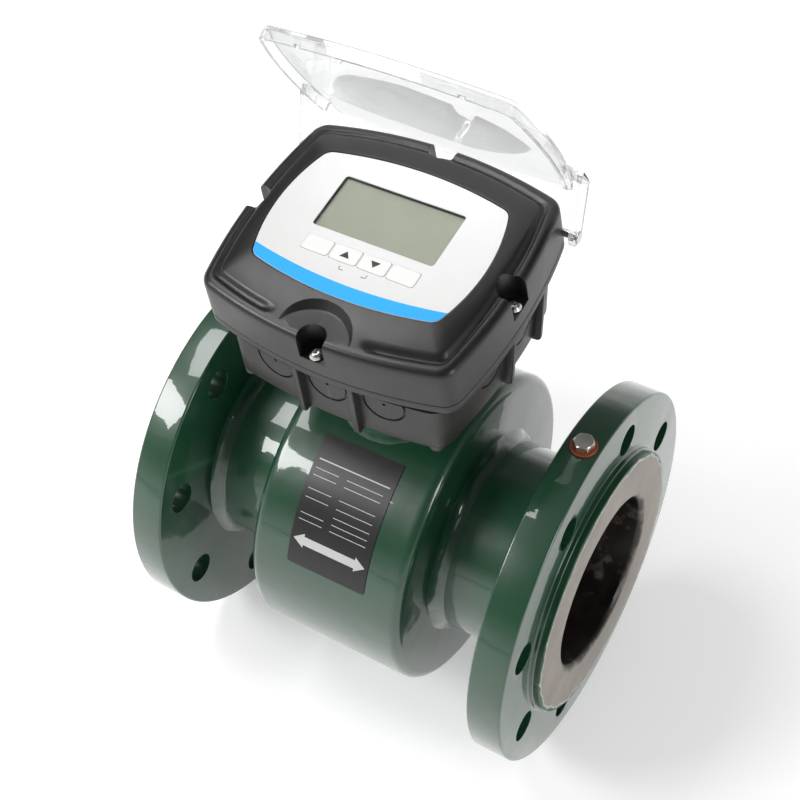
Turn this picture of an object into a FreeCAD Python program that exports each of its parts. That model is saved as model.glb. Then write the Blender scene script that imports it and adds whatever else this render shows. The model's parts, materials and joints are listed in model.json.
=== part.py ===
"""Electromagnetic flow meter, DN100, compact type.

A flanged flow tube with a welded coil housing carries a display unit on a short pedestal.
Frame: origin at the centre of the bore, +X along the pipe towards the outlet, -Y towards the
front of the display, +Z up.  Millimetres.  The display unit's cover stands open.
"""
import FreeCAD, Part
import math
import os
import re
import Sketcher

V = FreeCAD.Vector
doc = FreeCAD.newDocument("flow_meter")

# ---------------------------------------------------------------- driving dimensions
SIZES = {
    # flow tube and flanges
    "face_to_face": 250.0,
    "bore_dia": 100.0,
    "tube_dia": 114.3,
    "tube_wall": 3.6,
    "flare_dia": 155.0,
    "flare_thick": 3.2,
    "mouth_round": 3.0,
    "flange_dia": 220.0,
    "flange_thick": 20.0,
    "flange_chamfer": 0.8,
    "raised_dia": 158.0,
    "raised_height": 3.0,
    "bolt_circle": 180.0,
    "bolt_hole_dia": 18.0,
    "bolt_count": 8,
    "bead_width": 7.5,
    "bead_height": 5.0,
    # coil housing and what is inside it
    "drum_dia": 188.0,
    "drum_width": 97.0,
    "drum_wall": 3.0,
    "drum_round": 5.5,
    "cap_rim": 7.5,
    "lead_hole_dia": 30.0,
    "coil_width": 68.0,
    "coil_height": 10.0,
    "coil_angle": 110.0,
    "coil_strand": 14.0,
    "shoe_thick": 5.0,
    "shoe_gap": 2.0,
    "core_width": 24.0,
    "core_angle": 20.0,
    "yoke_gap": 16.85,
    "yoke_air": 1.0,
    "yoke_wall": 3.0,
    "yoke_width": 60.0,
    "electrode_head_dia": 8.0,
    "electrode_shank_dia": 5.0,
    "electrode_air": 0.45,
    "bush_dia": 12.0,
    "bush_collar_dia": 18.0,
    "bush_collar_thick": 4.0,
    # type plate and earth point
    "plate_width": 49.0,
    "plate_shift": 1.0,
    "plate_thick": 0.4,
    "plate_low_angle": 20.0,
    "plate_high_angle": 66.5,
    "earth_shift": 0.7,
    "earth_thread_dia": 6.0,
    "earth_thread_depth": 14.0,
    "earth_head_across": 10.0,
    "earth_head_height": 4.0,
    "earth_washer_dia": 14.5,
    "earth_washer_thick": 1.2,
    # pedestal
    "neck_dia": 60.0,
    "neck_wall": 4.0,
    "neck_top": 130.0,
    "seat_dia": 92.0,
    "seat_thick": 6.0,
    "seat_gasket": 1.5,
    "seat_gasket_width": 8.0,
    "seat_screw_circle": 76.0,
    "seat_screw_dia": 5.0,
    "seat_screw_head_dia": 9.0,
    "seat_screw_head": 3.0,
    # lower housing
    "base_y": 1.5,
    "base_half_w": 65.0,
    "base_half_d": 61.8,
    "base_bulge_w": 4.0,
    "base_bulge_d": 6.0,
    "base_corner": 10.0,
    "base_draft_angle": 1.9,
    "base_height": 66.0,
    "base_wall": 3.0,
    "base_floor": 3.0,
    "foot_x": 55.0,
    "foot_y": 52.5,
    "foot_dia": 8.0,
    "foot_height": 2.5,
    "rib_width": 5.0,
    "rib_proud": 4.5,
    "rib_drop": 1.7,
    "knock_pitch": 31.5,
    "knock_level": 24.5,
    "knock_dia": 21.6,
    "knock_groove": 1.0,
    "knock_depth": 0.8,
    "knock_dot_dia": 1.8,
    "side_rib_back": 33.5,
    "rim_height": 5.0,
    "rim_undercut": 8.5,
    "rim_slope": 45.0,
    "board_post_dia": 7.0,
    "board_post_height": 6.0,
    "board_post_x": 38.0,
    "board_post_y": 40.0,
    # display unit's cover, in its own tilted frame: n is the distance from the panel's plane
    "lid_y": -5.4,
    "lid_z": 215.0,
    "lid_tilt": 7.8,
    "lid_half_w": 75.6,
    "lid_half_d": 67.0,
    "lid_bulge_w": 6.0,
    "lid_bulge_d": 10.0,
    "lid_corner": 10.0,
    "least_corner": 2.0,
    "lid_draft_angle": 2.1,
    "lid_lip": 4.0,
    "lid_split": 28.0,
    "lid_wall": 3.4,
    "lip_width": 4.5,
    "lip_bevel": 1.2,
    "channel_width": 3.5,
    "channel_depth": 3.0,
    "crown_rise": 0.45,
    "panel_margin": 0.9,
    "panel_centre": 1.1,
    "panel_half_w": 58.4,
    "panel_half_d": 42.5,
    "panel_bulge_w": 6.9,
    "panel_bulge_d": 6.5,
    "panel_corner": 6.5,
    "panel_thick": 0.6,
    "panel_gap": 0.3,
    "roof_thick": 2.8,
    "recess_centre": 69.7,
    "recess_floor_r": 21.3,
    "recess_slope": 4.1,
    "slot_r": 7.3,
    "slot_inset": 3.5,
    "slot_floor": 19.5,
    "slot_wall": 2.5,
    "cover_screw_dia": 4.0,
    "cover_screw_head_dia": 7.5,
    "cover_screw_head": 3.2,
    "cover_screw_bite": 6.0,
    "lid_gasket": 0.6,
    # window, display and keys
    "window_half_w": 34.2,
    "window_low": -6.8,
    "window_high": 27.0,
    "window_lap": 1.8,
    "window_thick": 1.0,
    "window_gap": 0.2,
    "display_lap": 4.0,
    "display_air": 0.4,
    "board_level": 7.9,
    "board_thick": 1.6,
    "board_half_w": 52.0,
    "board_low": -46.0,
    "board_high": 42.0,
    "stud_dia": 6.0,
    "stud_margin": 6.0,
    "key_pitch": 16.05,
    "key_row": -17.3,
    "key_half_w": 7.5,
    "key_half_d": 4.6,
    "key_corner": 1.4,
    "key_gap": 0.25,
    "key_proud": 0.4,
    "key_collar": 0.9,
    "key_collar_lap": 1.0,
    "key_stem_dia": 4.0,
    "key_travel": 0.7,
    "switch_size": 6.0,
    "switch_height": 1.3,
    # terminal board
    "terminal_half_w": 46.0,
    "terminal_half_d": 46.0,
    "terminal_thick": 1.6,
    "block_inner": 4.0,
    "block_outer": 42.0,
    "block_front": -34.0,
    "block_back": -22.0,
    "block_height": 10.0,
    # transparent cover and hinge
    "pin_s": 51.5,
    "pin_n": -20.4,
    "pin_dia": 4.0,
    "pin_fit": 0.05,
    "pin_head_dia": 6.4,
    "pin_head": 1.0,
    "pin_boss_dia": 9.0,
    "arm_gap": 1.3,
    "arm_thick": 2.8,
    "arm_half": 5.2,
    "ear_front": -29.0,
    "ear_back": -16.0,
    "hinge_gap": 0.3,
    "open_angle": 66.4,
    "shield_half_w": 73.4,
    "shield_half_d": 62.0,
    "shield_centre": 0.8,
    "shield_bulge_w": 7.1,
    "shield_bulge_d": 5.8,
    "shield_corner": 7.5,
    "shield_top": 3.4,
    "shield_thick": 1.7,
    "shield_rim": 2.2,
    "shield_air": 0.4,
    "shield_bevel": 0.8,
    "shield_rim_end": 38.0,
    "notch_x": 42.7,
    "notch_width": 3.0,
    "notch_depth": 1.2,
}

sheet = doc.addObject("Spreadsheet::Sheet", "Dims")
for row, (alias, value) in enumerate(SIZES.items(), start=1):
    sheet.set(f"A{row}", alias)
    sheet.set(f"B{row}", str(value))
    sheet.setAlias(f"B{row}", alias)
doc.recompute()

# ---------------------------------------------------------------- formulas used by several pieces
BORE_R = "(bore_dia / 2)"
TUBE_R = "(tube_dia / 2)"
TUBE_IN = "(tube_dia / 2 - tube_wall)"
TUBE_END = "(face_to_face / 2 - flare_thick)"
PLATE_OUT = "(face_to_face / 2 - flare_thick - raised_height)"
PLATE_IN = "(face_to_face / 2 - flare_thick - raised_height - flange_thick)"
FLANGE_R = "(flange_dia / 2)"
DRUM_R = "(drum_dia / 2)"
DRUM_END = "(drum_width / 2)"
YOKE_R = "(min(tube_dia / 2 + yoke_gap; drum_dia / 2 - drum_wall - yoke_air - yoke_wall))"
EARTH_X = "(face_to_face / 2 - flare_thick - raised_height - flange_thick / 2 + earth_shift)"
ARM_IN = "(lid_half_w + arm_gap)"
SEAT_TOP = "(neck_top + seat_thick)"
BASE_Z = "(neck_top + seat_thick + seat_gasket)"
RIM_LEVEL = "(lid_split + lid_gasket)"
SLOT_X = "(lid_half_w - slot_inset)"
SLOT_Y = "(lid_half_d - slot_inset)"
ROOF_UNDER = "(panel_thick + roof_thick)"
LIP_FOOT = "(lid_lip + 2 * lip_bevel)"
LID_FLARE = "((lid_split - lid_lip - 2 * lip_bevel) * tan(lid_draft_angle * 1 deg))"
LIP_DEPTH = "(lid_lip + channel_depth)"
PIN_Y = "(lid_y + pin_s * cos(lid_tilt * 1 deg) - pin_n * sin(lid_tilt * 1 deg))"
PIN_Z = "(lid_z + pin_s * sin(lid_tilt * 1 deg) + pin_n * cos(lid_tilt * 1 deg))"

LID_FRAME = "placement(vector(0; lid_y; lid_z); vector(1; 0; 0); lid_tilt)"
BASE_FRAME = f"placement(vector(0; base_y; {BASE_Z}); vector(1; 0; 0); 0)"
SHIELD_FRAME = f"placement(vector(0; {PIN_Y}; {PIN_Z}); vector(1; 0; 0); lid_tilt - open_angle)"
TURNED_ROUND = "placement(vector(0; 0; 0); vector(0; 0; 1); 180)"
UPSIDE_DOWN = "placement(vector(0; 0; 0); vector(1; 0; 0); 180)"


# ---------------------------------------------------------------- helpers
def formula(text):
    """Write a formula in plain size names as a FreeCAD expression on the sheet."""
    return re.sub(r"[a-z][a-z0-9_]*", lambda m: f"Dims.{m[0]}" if m[0] in SIZES else m[0], text)


def number(text):
    """The formula's value now, used to draw each sketch where its constraints will hold it."""
    value = sheet.evalExpression(formula(text))
    return float(getattr(value, "Value", value))


def bind(item, prop, text):
    item.setExpression(prop, formula(text))


def new_body(label, frame=None):
    body = doc.addObject("PartDesign::Body", label)
    body.Label = label
    if frame:
        bind(body, "Placement", frame)
    return body


def tilted(depth):
    """Attachment offset, in the lower housing's frame, of a plane parallel to the panel."""
    y = f"lid_y - base_y + ({depth}) * sin(lid_tilt * 1 deg)"
    z = f"lid_z - {BASE_Z} - ({depth}) * cos(lid_tilt * 1 deg)"
    return f"placement(vector(0; {y}; {z}); vector(1; 0; 0); lid_tilt)"


def sketch_on(body, name, shapes, lift="0", role="XY_Plane", offset=None):
    """A sketch of closed shapes on one of the body's own planes."""
    sketch = body.newObject("Sketcher::SketchObject", name)
    plane = next(f for f in body.Origin.OriginFeatures if f.Role == role)
    sketch.AttachmentSupport = [(plane, "")]
    sketch.MapMode = "FlatFace"
    if offset:
        bind(sketch, "AttachmentOffset", offset)
    else:
        bind(sketch, "AttachmentOffset.Base.z", lift)
    for shape in shapes:
        shape(sketch)
    return sketch


def hold(sketch, kind, where, text):
    """Add a constraint whose value is a formula."""
    index = sketch.addConstraint(Sketcher.Constraint(kind, *where, number(text)))
    bind(sketch, f"Constraints[{index}]", text)


def hold_point(sketch, geometry, end, x, y):
    hold(sketch, "DistanceX", (geometry, end), x)
    hold(sketch, "DistanceY", (geometry, end), y)


def circle(x, y, radius):
    def draw(sketch):
        centre = V(number(x), number(y), 0)
        index = sketch.addGeometry(Part.Circle(centre, V(0, 0, 1), number(radius)), False)
        hold(sketch, "Radius", (index,), radius)
        hold_point(sketch, index, 3, x, y)
    return draw


def outline(points):
    """Closed loop of (x, y) or (x, y, bulge) formulas, anticlockwise.

    A bulge makes the edge that leaves the point an arc, bowed outwards by that much.
    """
    def draw(sketch):
        ends = []
        for here, point in enumerate(points):
            after = points[(here + 1) % len(points)]
            start = V(number(point[0]), number(point[1]), 0)
            stop = V(number(after[0]), number(after[1]), 0)
            if len(point) == 2:
                index = sketch.addGeometry(Part.LineSegment(start, stop), False)
                ends.append((index, 1, 2))
                continue
            along = (stop - start).normalize()
            middle = (start + stop) * 0.5 + V(along.y, -along.x, 0) * number(point[2])
            index = sketch.addGeometry(Part.Arc(start, middle, stop), False)
            kept = sketch.Geometry[index].StartPoint.distanceToPoint(start) < 1e-6
            ends.append((index, 1, 2) if kept else (index, 2, 1))
            # the centre lies on the chord's bisector, held along its longer direction
            rise, run = f"(({after[1]}) - ({point[1]}))", f"(({after[0]}) - ({point[0]}))"
            chord, bow = f"sqrt({run}^2 + {rise}^2)", f"({point[2]})"
            share = f"({chord} / (8 * {bow}) - {bow} / (2 * {chord}))"
            if abs(along.y) > abs(along.x):
                hold(sketch, "DistanceX", (index, 3), f"(({point[0]}) + ({after[0]})) / 2 - {rise} * {share}")
            else:
                hold(sketch, "DistanceY", (index, 3), f"(({point[1]}) + ({after[1]})) / 2 + {run} * {share}")
        for here, (index, first, last) in enumerate(ends):
            following = ends[(here + 1) % len(ends)]
            sketch.addConstraint(Sketcher.Constraint("Coincident", index, last, *following[:2]))
            hold_point(sketch, index, first, points[here][0], points[here][1])
    return draw


def rounded(x, y, radius, first):
    """Points of a quarter round about (x, y), drawn as three flats, from the first angle on."""
    angles = [first + 30 * step for step in range(4)]
    return [(f"({x}) + ({radius}) * cos({a} deg)", f"({y}) + ({radius}) * sin({a} deg)") for a in angles]


def box(x_low, y_low, x_high, y_high):
    return outline([(x_low, y_low), (x_high, y_low), (x_high, y_high), (x_low, y_high)])


def barrel(half_w, half_d, bulge_w, bulge_d, corner, centre="0"):
    """Four bowed sides and four round corners, all tangent: the display unit's outline."""
    side_r = f"((({half_d}) - ({bulge_d}))^2 + ({bulge_w})^2) / (2 * ({bulge_w}))"
    end_r = f"((({half_w}) - ({bulge_w}))^2 + ({bulge_d})^2) / (2 * ({bulge_d}))"

    def draw(sketch):
        side, end, small = number(side_r), number(end_r), number(corner)
        side_x, end_y = number(half_w) - side, number(half_d) - end
        # centre of the corner arc: tangent inside both large arcs
        gap = math.hypot(side_x, end_y)
        along = ((side - small) ** 2 - (end - small) ** 2 + gap ** 2) / (2 * gap)
        off = math.sqrt((side - small) ** 2 - along ** 2)
        unit_x, unit_y = -side_x / gap, end_y / gap
        spot_x = side_x + along * unit_x - off * unit_y
        spot_y = along * unit_y + off * unit_x
        if spot_x < 0 or spot_y < 0:
            spot_x = side_x + along * unit_x + off * unit_y
            spot_y = along * unit_y - off * unit_x
        low = math.atan2(spot_y, spot_x - side_x)
        high = math.atan2(spot_y - end_y, spot_x)
        turn = math.pi
        mid = number(centre)
        arcs = [
            (side_x, 0, side, -low, low),
            (spot_x, spot_y, small, low, high),
            (0, end_y, end, high, turn - high),
            (-spot_x, spot_y, small, turn - high, turn - low),
            (-side_x, 0, side, turn - low, turn + low),
            (-spot_x, -spot_y, small, turn + low, turn + high),
            (0, -end_y, end, turn + high, 2 * turn - high),
            (spot_x, -spot_y, small, 2 * turn - high, 2 * turn - low),
        ]
        made = []
        for x, y, radius, begin, finish in arcs:
            ring = Part.Circle(V(x, y + mid, 0), V(0, 0, 1), radius)
            made.append(sketch.addGeometry(Part.ArcOfCircle(ring, begin, finish), False))
        for here, index in enumerate(made):
            following = made[(here + 1) % len(made)]
            sketch.addConstraint(Sketcher.Constraint("Tangent", index, 2, following, 1))
        for index in made[1::2]:
            hold(sketch, "Radius", (index,), corner)
        for index, sign in ((made[0], 1), (made[4], -1)):
            hold(sketch, "Radius", (index,), side_r)
            hold_point(sketch, index, 3, f"{sign} * (({half_w}) - {side_r})", centre)
        for index, sign in ((made[2], 1), (made[6], -1)):
            hold(sketch, "Radius", (index,), end_r)
            hold_point(sketch, index, 3, "0", f"({centre}) + {sign} * (({half_d}) - {end_r})")
    return draw


def pad(body, name, shapes, low, high, role="XY_Plane"):
    sketch = sketch_on(body, name + "_sketch", shapes, low, role)
    feature = body.newObject("PartDesign::Pad", name)
    feature.Profile = sketch
    bind(feature, "Length", f"({high}) - ({low})")
    return feature


def pocket(body, name, shapes, low, high, role="XY_Plane"):
    sketch = sketch_on(body, name + "_sketch", shapes, high, role)
    feature = body.newObject("PartDesign::Pocket", name)
    feature.Profile = sketch
    bind(feature, "Length", f"({high}) - ({low})")
    return feature


def tapered(body, name, shape, low, height, angle, kind="Pad", offset=None, down=False):
    """Pad or pocket with moulding draft: it widens away from the sketch by the angle."""
    sketch = sketch_on(body, name + "_sketch", [shape], low, offset=offset)
    feature = body.newObject("PartDesign::" + kind, name)
    feature.Profile = sketch
    feature.Reversed = down if kind == "Pad" else not down
    bind(feature, "Length", height)
    bind(feature, "TaperAngle", angle)
    return feature


def revolve(body, name, shapes, axis="H_Axis", role="XZ_Plane", angle=None, kind="Revolution"):
    """Turn a profile about the sketch's own axis; a part turn is centred on the sketch."""
    sketch = sketch_on(body, name + "_sketch", shapes, role=role)
    feature = body.newObject("PartDesign::" + kind, name)
    feature.Profile = sketch
    feature.ReferenceAxis = (sketch, [axis])
    if angle:
        bind(feature, "Angle", angle)
        feature.Midplane = True
    return feature


def loft(body, name, sections, kind="AdditiveLoft"):
    """Ruled loft through (shape, lift) sections; a lift is a height or an attachment offset."""
    sketches = []
    for index, (shape, lift) in enumerate(sections):
        offset = lift if lift.startswith("placement") else None
        label = f"{name}_sketch{index}"
        sketches.append(sketch_on(body, label, [shape], "0" if offset else lift, offset=offset))
    feature = body.newObject("PartDesign::" + kind, name)
    feature.Profile = sketches[0]
    feature.Sections = sketches[1:]
    feature.Ruled = True
    return feature


def dress(body, name, kind, picked, prop, size):
    """Fillet or chamfer the edges of the body's last feature that the test picks."""
    doc.recompute()
    base = body.Tip
    edges = [f"Edge{i}" for i, edge in enumerate(base.Shape.Edges, 1) if picked(edge)]
    feature = body.newObject("PartDesign::" + kind, name)
    feature.Base = (base, edges)
    bind(feature, prop, size)
    return feature


def pattern(body, name, original, axis_role, count):
    feature = body.newObject("PartDesign::PolarPattern", name)
    feature.Originals = [original]
    axis = next(f for f in body.Origin.OriginFeatures if f.Role == axis_role)
    feature.Axis = (axis, [""])
    feature.Angle = 360
    bind(feature, "Occurrences", count)
    body.Tip = feature
    return feature


def boolean(kind, label, base, tools, frame=None):
    """Part::Cut, Part::Common or Part::MultiFuse of whole objects."""
    result = doc.addObject("Part::" + kind, label)
    result.Label = label
    if kind == "MultiFuse":
        result.Shapes = [base, *tools]
    else:
        result.Base = base
        result.Tool = tools[0]
    if frame:
        bind(result, "Placement", frame)
    return result


def on_circle(edge, axis, radius, level):
    """True for a full circle about the axis ('x' or 'z') at that radius and level."""
    curve = edge.Curve
    if not isinstance(curve, Part.Circle) or abs(curve.Radius - radius) > 1e-4:
        return False
    centre = curve.Center
    across = (centre.y, centre.z) if axis == "x" else (centre.x, centre.y)
    along = centre.x if axis == "x" else centre.z
    return math.hypot(*across) < 1e-4 and abs(along - level) < 1e-4


def at_level(edge, level):
    """True for an edge that lies wholly at one height."""
    box_ = edge.BoundBox
    return abs(box_.ZMin - level) < 1e-4 and abs(box_.ZMax - level) < 1e-4


# ---------------------------------------------------------------- flow tube
def make_measuring_tube():
    body = new_body("measuring_tube")
    wall = [(f"-{TUBE_END}", TUBE_IN), (TUBE_END, TUBE_IN), (TUBE_END, TUBE_R), (f"-{TUBE_END}", TUBE_R)]
    revolve(body, "tube_turn", [outline(wall)])
    pocket(body, "electrode_ports", [circle("0", "0", "bush_dia / 2")], f"-{TUBE_R} - 1", f"{TUBE_R} + 1",
           "XZ_Plane")
    return body


def make_liner():
    body = new_body("liner")
    wall = [(f"-{TUBE_END}", BORE_R), (TUBE_END, BORE_R), (TUBE_END, TUBE_IN), (f"-{TUBE_END}", TUBE_IN)]
    revolve(body, "liner_turn", [outline(wall)])
    pocket(body, "electrode_seats", [circle("0", "0", "electrode_head_dia / 2")], f"-{TUBE_IN} - 1",
           f"{TUBE_IN} + 1", "XZ_Plane")
    return body


def make_liner_face(label, frame=None):
    """The liner's flare over the raised face, with its mouth rounded into the bore."""
    body = new_body(label, frame)
    mouth = rounded("face_to_face / 2 - mouth_round", f"{BORE_R} + mouth_round", "mouth_round", -90)
    profile = [(TUBE_END, BORE_R), *mouth, ("face_to_face / 2", "flare_dia / 2"), (TUBE_END, "flare_dia / 2")]
    revolve(body, label + "_turn", [outline(profile)])
    return body


def make_flange(label, frame=None, earth=False):
    body = new_body(label, frame)
    profile = [
        (PLATE_IN, TUBE_R), (TUBE_END, TUBE_R), (TUBE_END, "raised_dia / 2"),
        (PLATE_OUT, "raised_dia / 2"), (PLATE_OUT, FLANGE_R), (PLATE_IN, FLANGE_R),
    ]
    revolve(body, label + "_turn", [outline(profile)])
    levels = (number(PLATE_IN), number(PLATE_OUT))
    rim = number(FLANGE_R)
    dress(body, label + "_edges", "Chamfer",
          lambda e: any(on_circle(e, "x", rim, level) for level in levels), "Size", "flange_chamfer")
    half_step = "(180 deg / bolt_count)"
    spot = (f"bolt_circle / 2 * cos({half_step})", f"bolt_circle / 2 * sin({half_step})")
    hole = pocket(body, label + "_bolt_hole", [circle(*spot, "bolt_hole_dia / 2")], f"{PLATE_IN} - 1",
                  f"{PLATE_OUT} + 1", "YZ_Plane")
    pattern(body, label + "_bolt_holes", hole, "X_Axis", "bolt_count")
    if earth:
        pocket(body, "earth_tapping", [circle(EARTH_X, "0", "earth_thread_dia / 2")],
               f"{FLANGE_R} - earth_thread_depth", f"{FLANGE_R} + 1")
    return body


def make_weld_beads():
    """Fillet welds where the tube enters both flanges and both ends of the coil housing."""
    body = new_body("weld_beads")
    beads = []
    for side in ("1", "-1"):
        for foot, away in ((PLATE_IN, f"({PLATE_IN} - bead_width)"), (DRUM_END, f"({DRUM_END} + bead_width)")):
            corners = [(f"{side} * {foot}", TUBE_R), (f"{side} * {away}", TUBE_R),
                       (f"{side} * {foot}", f"{TUBE_R} + bead_height")]
            beads.append(outline(corners))
    revolve(body, "bead_turn", beads)
    return body


# ---------------------------------------------------------------- coil housing
def make_housing_shell():
    body = new_body("housing_shell")
    half = f"({DRUM_END} - cap_rim)"
    inner = f"({DRUM_R} - drum_wall)"
    wall = [(f"-{half}", inner), (half, inner), (half, DRUM_R), (f"-{half}", DRUM_R)]
    revolve(body, "shell_turn", [outline(wall)])
    pocket(body, "lead_hole", [circle("0", "0", "lead_hole_dia / 2")], "0", f"{DRUM_R} + 1")
    return body


def make_housing_cap(label, frame=None):
    """Pressed end wall with a rounded, turned-in rim."""
    body = new_body(label, frame)
    inner = f"({DRUM_R} - drum_wall)"
    back = f"({DRUM_END} - drum_wall)"
    rim = f"({DRUM_END} - cap_rim)"
    shoulder = rounded(f"{DRUM_END} - drum_round", f"{DRUM_R} - drum_round", "drum_round", 0)
    profile = [(back, TUBE_R), (DRUM_END, TUBE_R), *shoulder, (rim, DRUM_R), (rim, inner),
               (f"{back} - drum_wall", inner), (back, f"{inner} - drum_wall")]
    revolve(body, label + "_turn", [outline(profile)])
    return body


def ring_section(half, low, high):
    return outline([(f"-({half})", low), (half, low), (half, high), (f"-({half})", high)])


def make_coil(label, frame=None):
    """Saddle coil: a wrapped band with a window for the pole shoe."""
    body = new_body(label, frame)
    top = f"{TUBE_R} + coil_height"
    revolve(body, label + "_band", [ring_section("coil_width / 2", TUBE_R, top)], angle="coil_angle")
    window = ring_section("coil_width / 2 - coil_strand", f"{TUBE_R} - 1", f"{top} + 1")
    strand_angle = f"(coil_strand / {TUBE_R} * 180 / pi)"
    revolve(body, label + "_window", [window], angle=f"coil_angle - 2 * {strand_angle}", kind="Groove")
    return body


def make_pole_shoe(label, frame=None):
    """Curved shoe on the tube with a core that reaches the yoke."""
    body = new_body(label, frame)
    strand_angle = f"(coil_strand / {TUBE_R} * 180 / pi)"
    gap_angle = f"(shoe_gap / {TUBE_R} * 180 / pi)"
    half = "(coil_width / 2 - coil_strand - shoe_gap)"
    revolve(body, label + "_shoe", [ring_section(half, TUBE_R, f"{TUBE_R} + shoe_thick")],
            angle=f"coil_angle - 2 * {strand_angle} - 2 * {gap_angle}")
    revolve(body, label + "_core", [ring_section("core_width / 2", f"{TUBE_R} + shoe_thick / 2", YOKE_R)],
            angle="core_angle")
    return body


def make_yoke():
    body = new_body("magnet_yoke")
    revolve(body, "yoke_turn", [ring_section("yoke_width / 2", YOKE_R, f"{YOKE_R} + yoke_wall")])
    return body


def make_electrode(label, frame=None):
    body = new_body(label, frame)
    head, shank = "electrode_head_dia / 2", "electrode_shank_dia / 2"
    tail = f"{YOKE_R} - electrode_air"
    profile = [(f"-{BORE_R}", "0"), (f"-{BORE_R}", head), (f"-{TUBE_IN}", head), (f"-{TUBE_IN}", shank),
               (f"-({tail})", shank), (f"-({tail})", "0")]
    revolve(body, label + "_turn", [outline(profile)], role="YZ_Plane")
    return body


def make_electrode_bushes():
    """Insulating bushes that carry the electrodes through the steel tube."""
    body = new_body("electrode_bushes")
    bore, sleeve, collar = "electrode_shank_dia / 2", "bush_dia / 2", "bush_collar_dia / 2"
    bushes = []
    for side in ("1", "-1"):
        inner, seat = f"{side} * {TUBE_IN}", f"{side} * {TUBE_R}"
        outer = f"{side} * ({TUBE_R} + bush_collar_thick)"
        profile = [(inner, bore), (outer, bore), (outer, collar), (seat, collar), (seat, sleeve),
                   (inner, sleeve)]
        bushes.append(outline(profile))
    revolve(body, "bush_turn", bushes, role="YZ_Plane")
    return body


def make_type_plate():
    """Thin plate rolled to the housing, on its front shoulder."""
    body = new_body("type_plate")
    middle = "(plate_low_angle + plate_high_angle) / 2"
    bind(body, "Placement", f"placement(vector(plate_shift; 0; 0); vector(1; 0; 0); 90 - {middle})")
    revolve(body, "plate_turn", [ring_section("plate_width / 2", DRUM_R, f"{DRUM_R} + plate_thick")],
            angle="plate_high_angle - plate_low_angle")
    return body


def make_earth_washer():
    body = new_body("earth_washer")
    rings = [circle(EARTH_X, "0", "earth_washer_dia / 2"), circle(EARTH_X, "0", "earth_thread_dia / 2")]
    pad(body, "washer_pad", rings, FLANGE_R, f"{FLANGE_R} + earth_washer_thick")
    return body


def make_earth_bolt():
    body = new_body("earth_bolt")
    seat = f"{FLANGE_R} + earth_washer_thick"
    reach = "earth_head_across / 2 / cos(30 deg)"
    corners = [(f"{EARTH_X} + {reach} * cos({60 * k} deg)", f"{reach} * sin({60 * k} deg)") for k in range(6)]
    pad(body, "bolt_head", [outline(corners)], seat, f"{seat} + earth_head_height")
    pad(body, "bolt_shank", [circle(EARTH_X, "0", "earth_thread_dia / 2")],
        f"{FLANGE_R} - earth_thread_depth", seat)
    return body


# ---------------------------------------------------------------- pedestal
def seat_screw_spot():
    return "seat_screw_circle / 2 * cos(45 deg)"


def make_pedestal_neck():
    """Tube saddled on the coil housing."""
    body = new_body("pedestal_neck")
    outer, inner = "neck_dia / 2", "(neck_dia / 2 - neck_wall)"
    foot = f"{DRUM_R} * 0.8"
    profile = [(inner, foot), (outer, foot), (outer, "neck_top"), (inner, "neck_top")]
    revolve(body, "neck_turn", [outline(profile)], axis="V_Axis")
    revolve(body, "saddle", [box("-neck_dia", "0", "neck_dia", DRUM_R)], kind="Groove")
    return body


def make_pedestal_seat():
    """Round plate welded to the neck, drilled for the display unit's screws."""
    body = new_body("pedestal_seat")
    disc = [circle("0", "0", "seat_dia / 2"), circle("0", "0", "neck_dia / 2 - neck_wall")]
    pad(body, "seat_disc", disc, "neck_top", SEAT_TOP)
    spot = seat_screw_spot()
    hole = pocket(body, "seat_tapping", [circle(spot, spot, "seat_screw_dia / 2")], "neck_top - 1",
                  f"{SEAT_TOP} + 1")
    pattern(body, "seat_tappings", hole, "Z_Axis", "4")
    return body


def make_pedestal_gasket():
    body = new_body("pedestal_gasket")
    inner = "neck_dia / 2 - neck_wall"
    pad(body, "gasket_pad", [circle("0", "0", f"{inner} + seat_gasket_width"), circle("0", "0", inner)],
        SEAT_TOP, BASE_Z)
    return body


def make_base_screws():
    body = new_body("base_screws")
    spot = seat_screw_spot()
    spots = [(f"{x} * {spot}", f"{y} * {spot}") for x in (1, -1) for y in (1, -1)]
    floor = f"{BASE_Z} + base_floor"
    pad(body, "screw_shanks", [circle(x, y, "seat_screw_dia / 2") for x, y in spots], "neck_top", floor)
    pad(body, "screw_heads", [circle(x, y, "seat_screw_head_dia / 2") for x, y in spots], floor,
        f"{floor} + seat_screw_head")
    return body


# ---------------------------------------------------------------- lower housing
def base_outline(inset="0"):
    """The lower housing's outline at its floor, moved in by the inset."""
    return barrel(f"base_half_w - {inset}", f"base_half_d - {inset}", "base_bulge_w", "base_bulge_d",
                  f"max(base_corner - {inset}; least_corner)")


def lid_outline(inset="0", flare="0"):
    """The display unit's outline under its lip, moved in by the inset and out by the flare."""
    change = f"({flare} - ({inset}))"
    return barrel(f"lid_half_w + {change}", f"lid_half_d + {change}", "lid_bulge_w", "lid_bulge_d",
                  f"max(lid_corner + {change}; least_corner)")


def make_base_block(label, inset):
    block = new_body(label)
    tapered(block, label + "_pad", base_outline(inset), "0", "base_height", "base_draft_angle")
    return block


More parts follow.
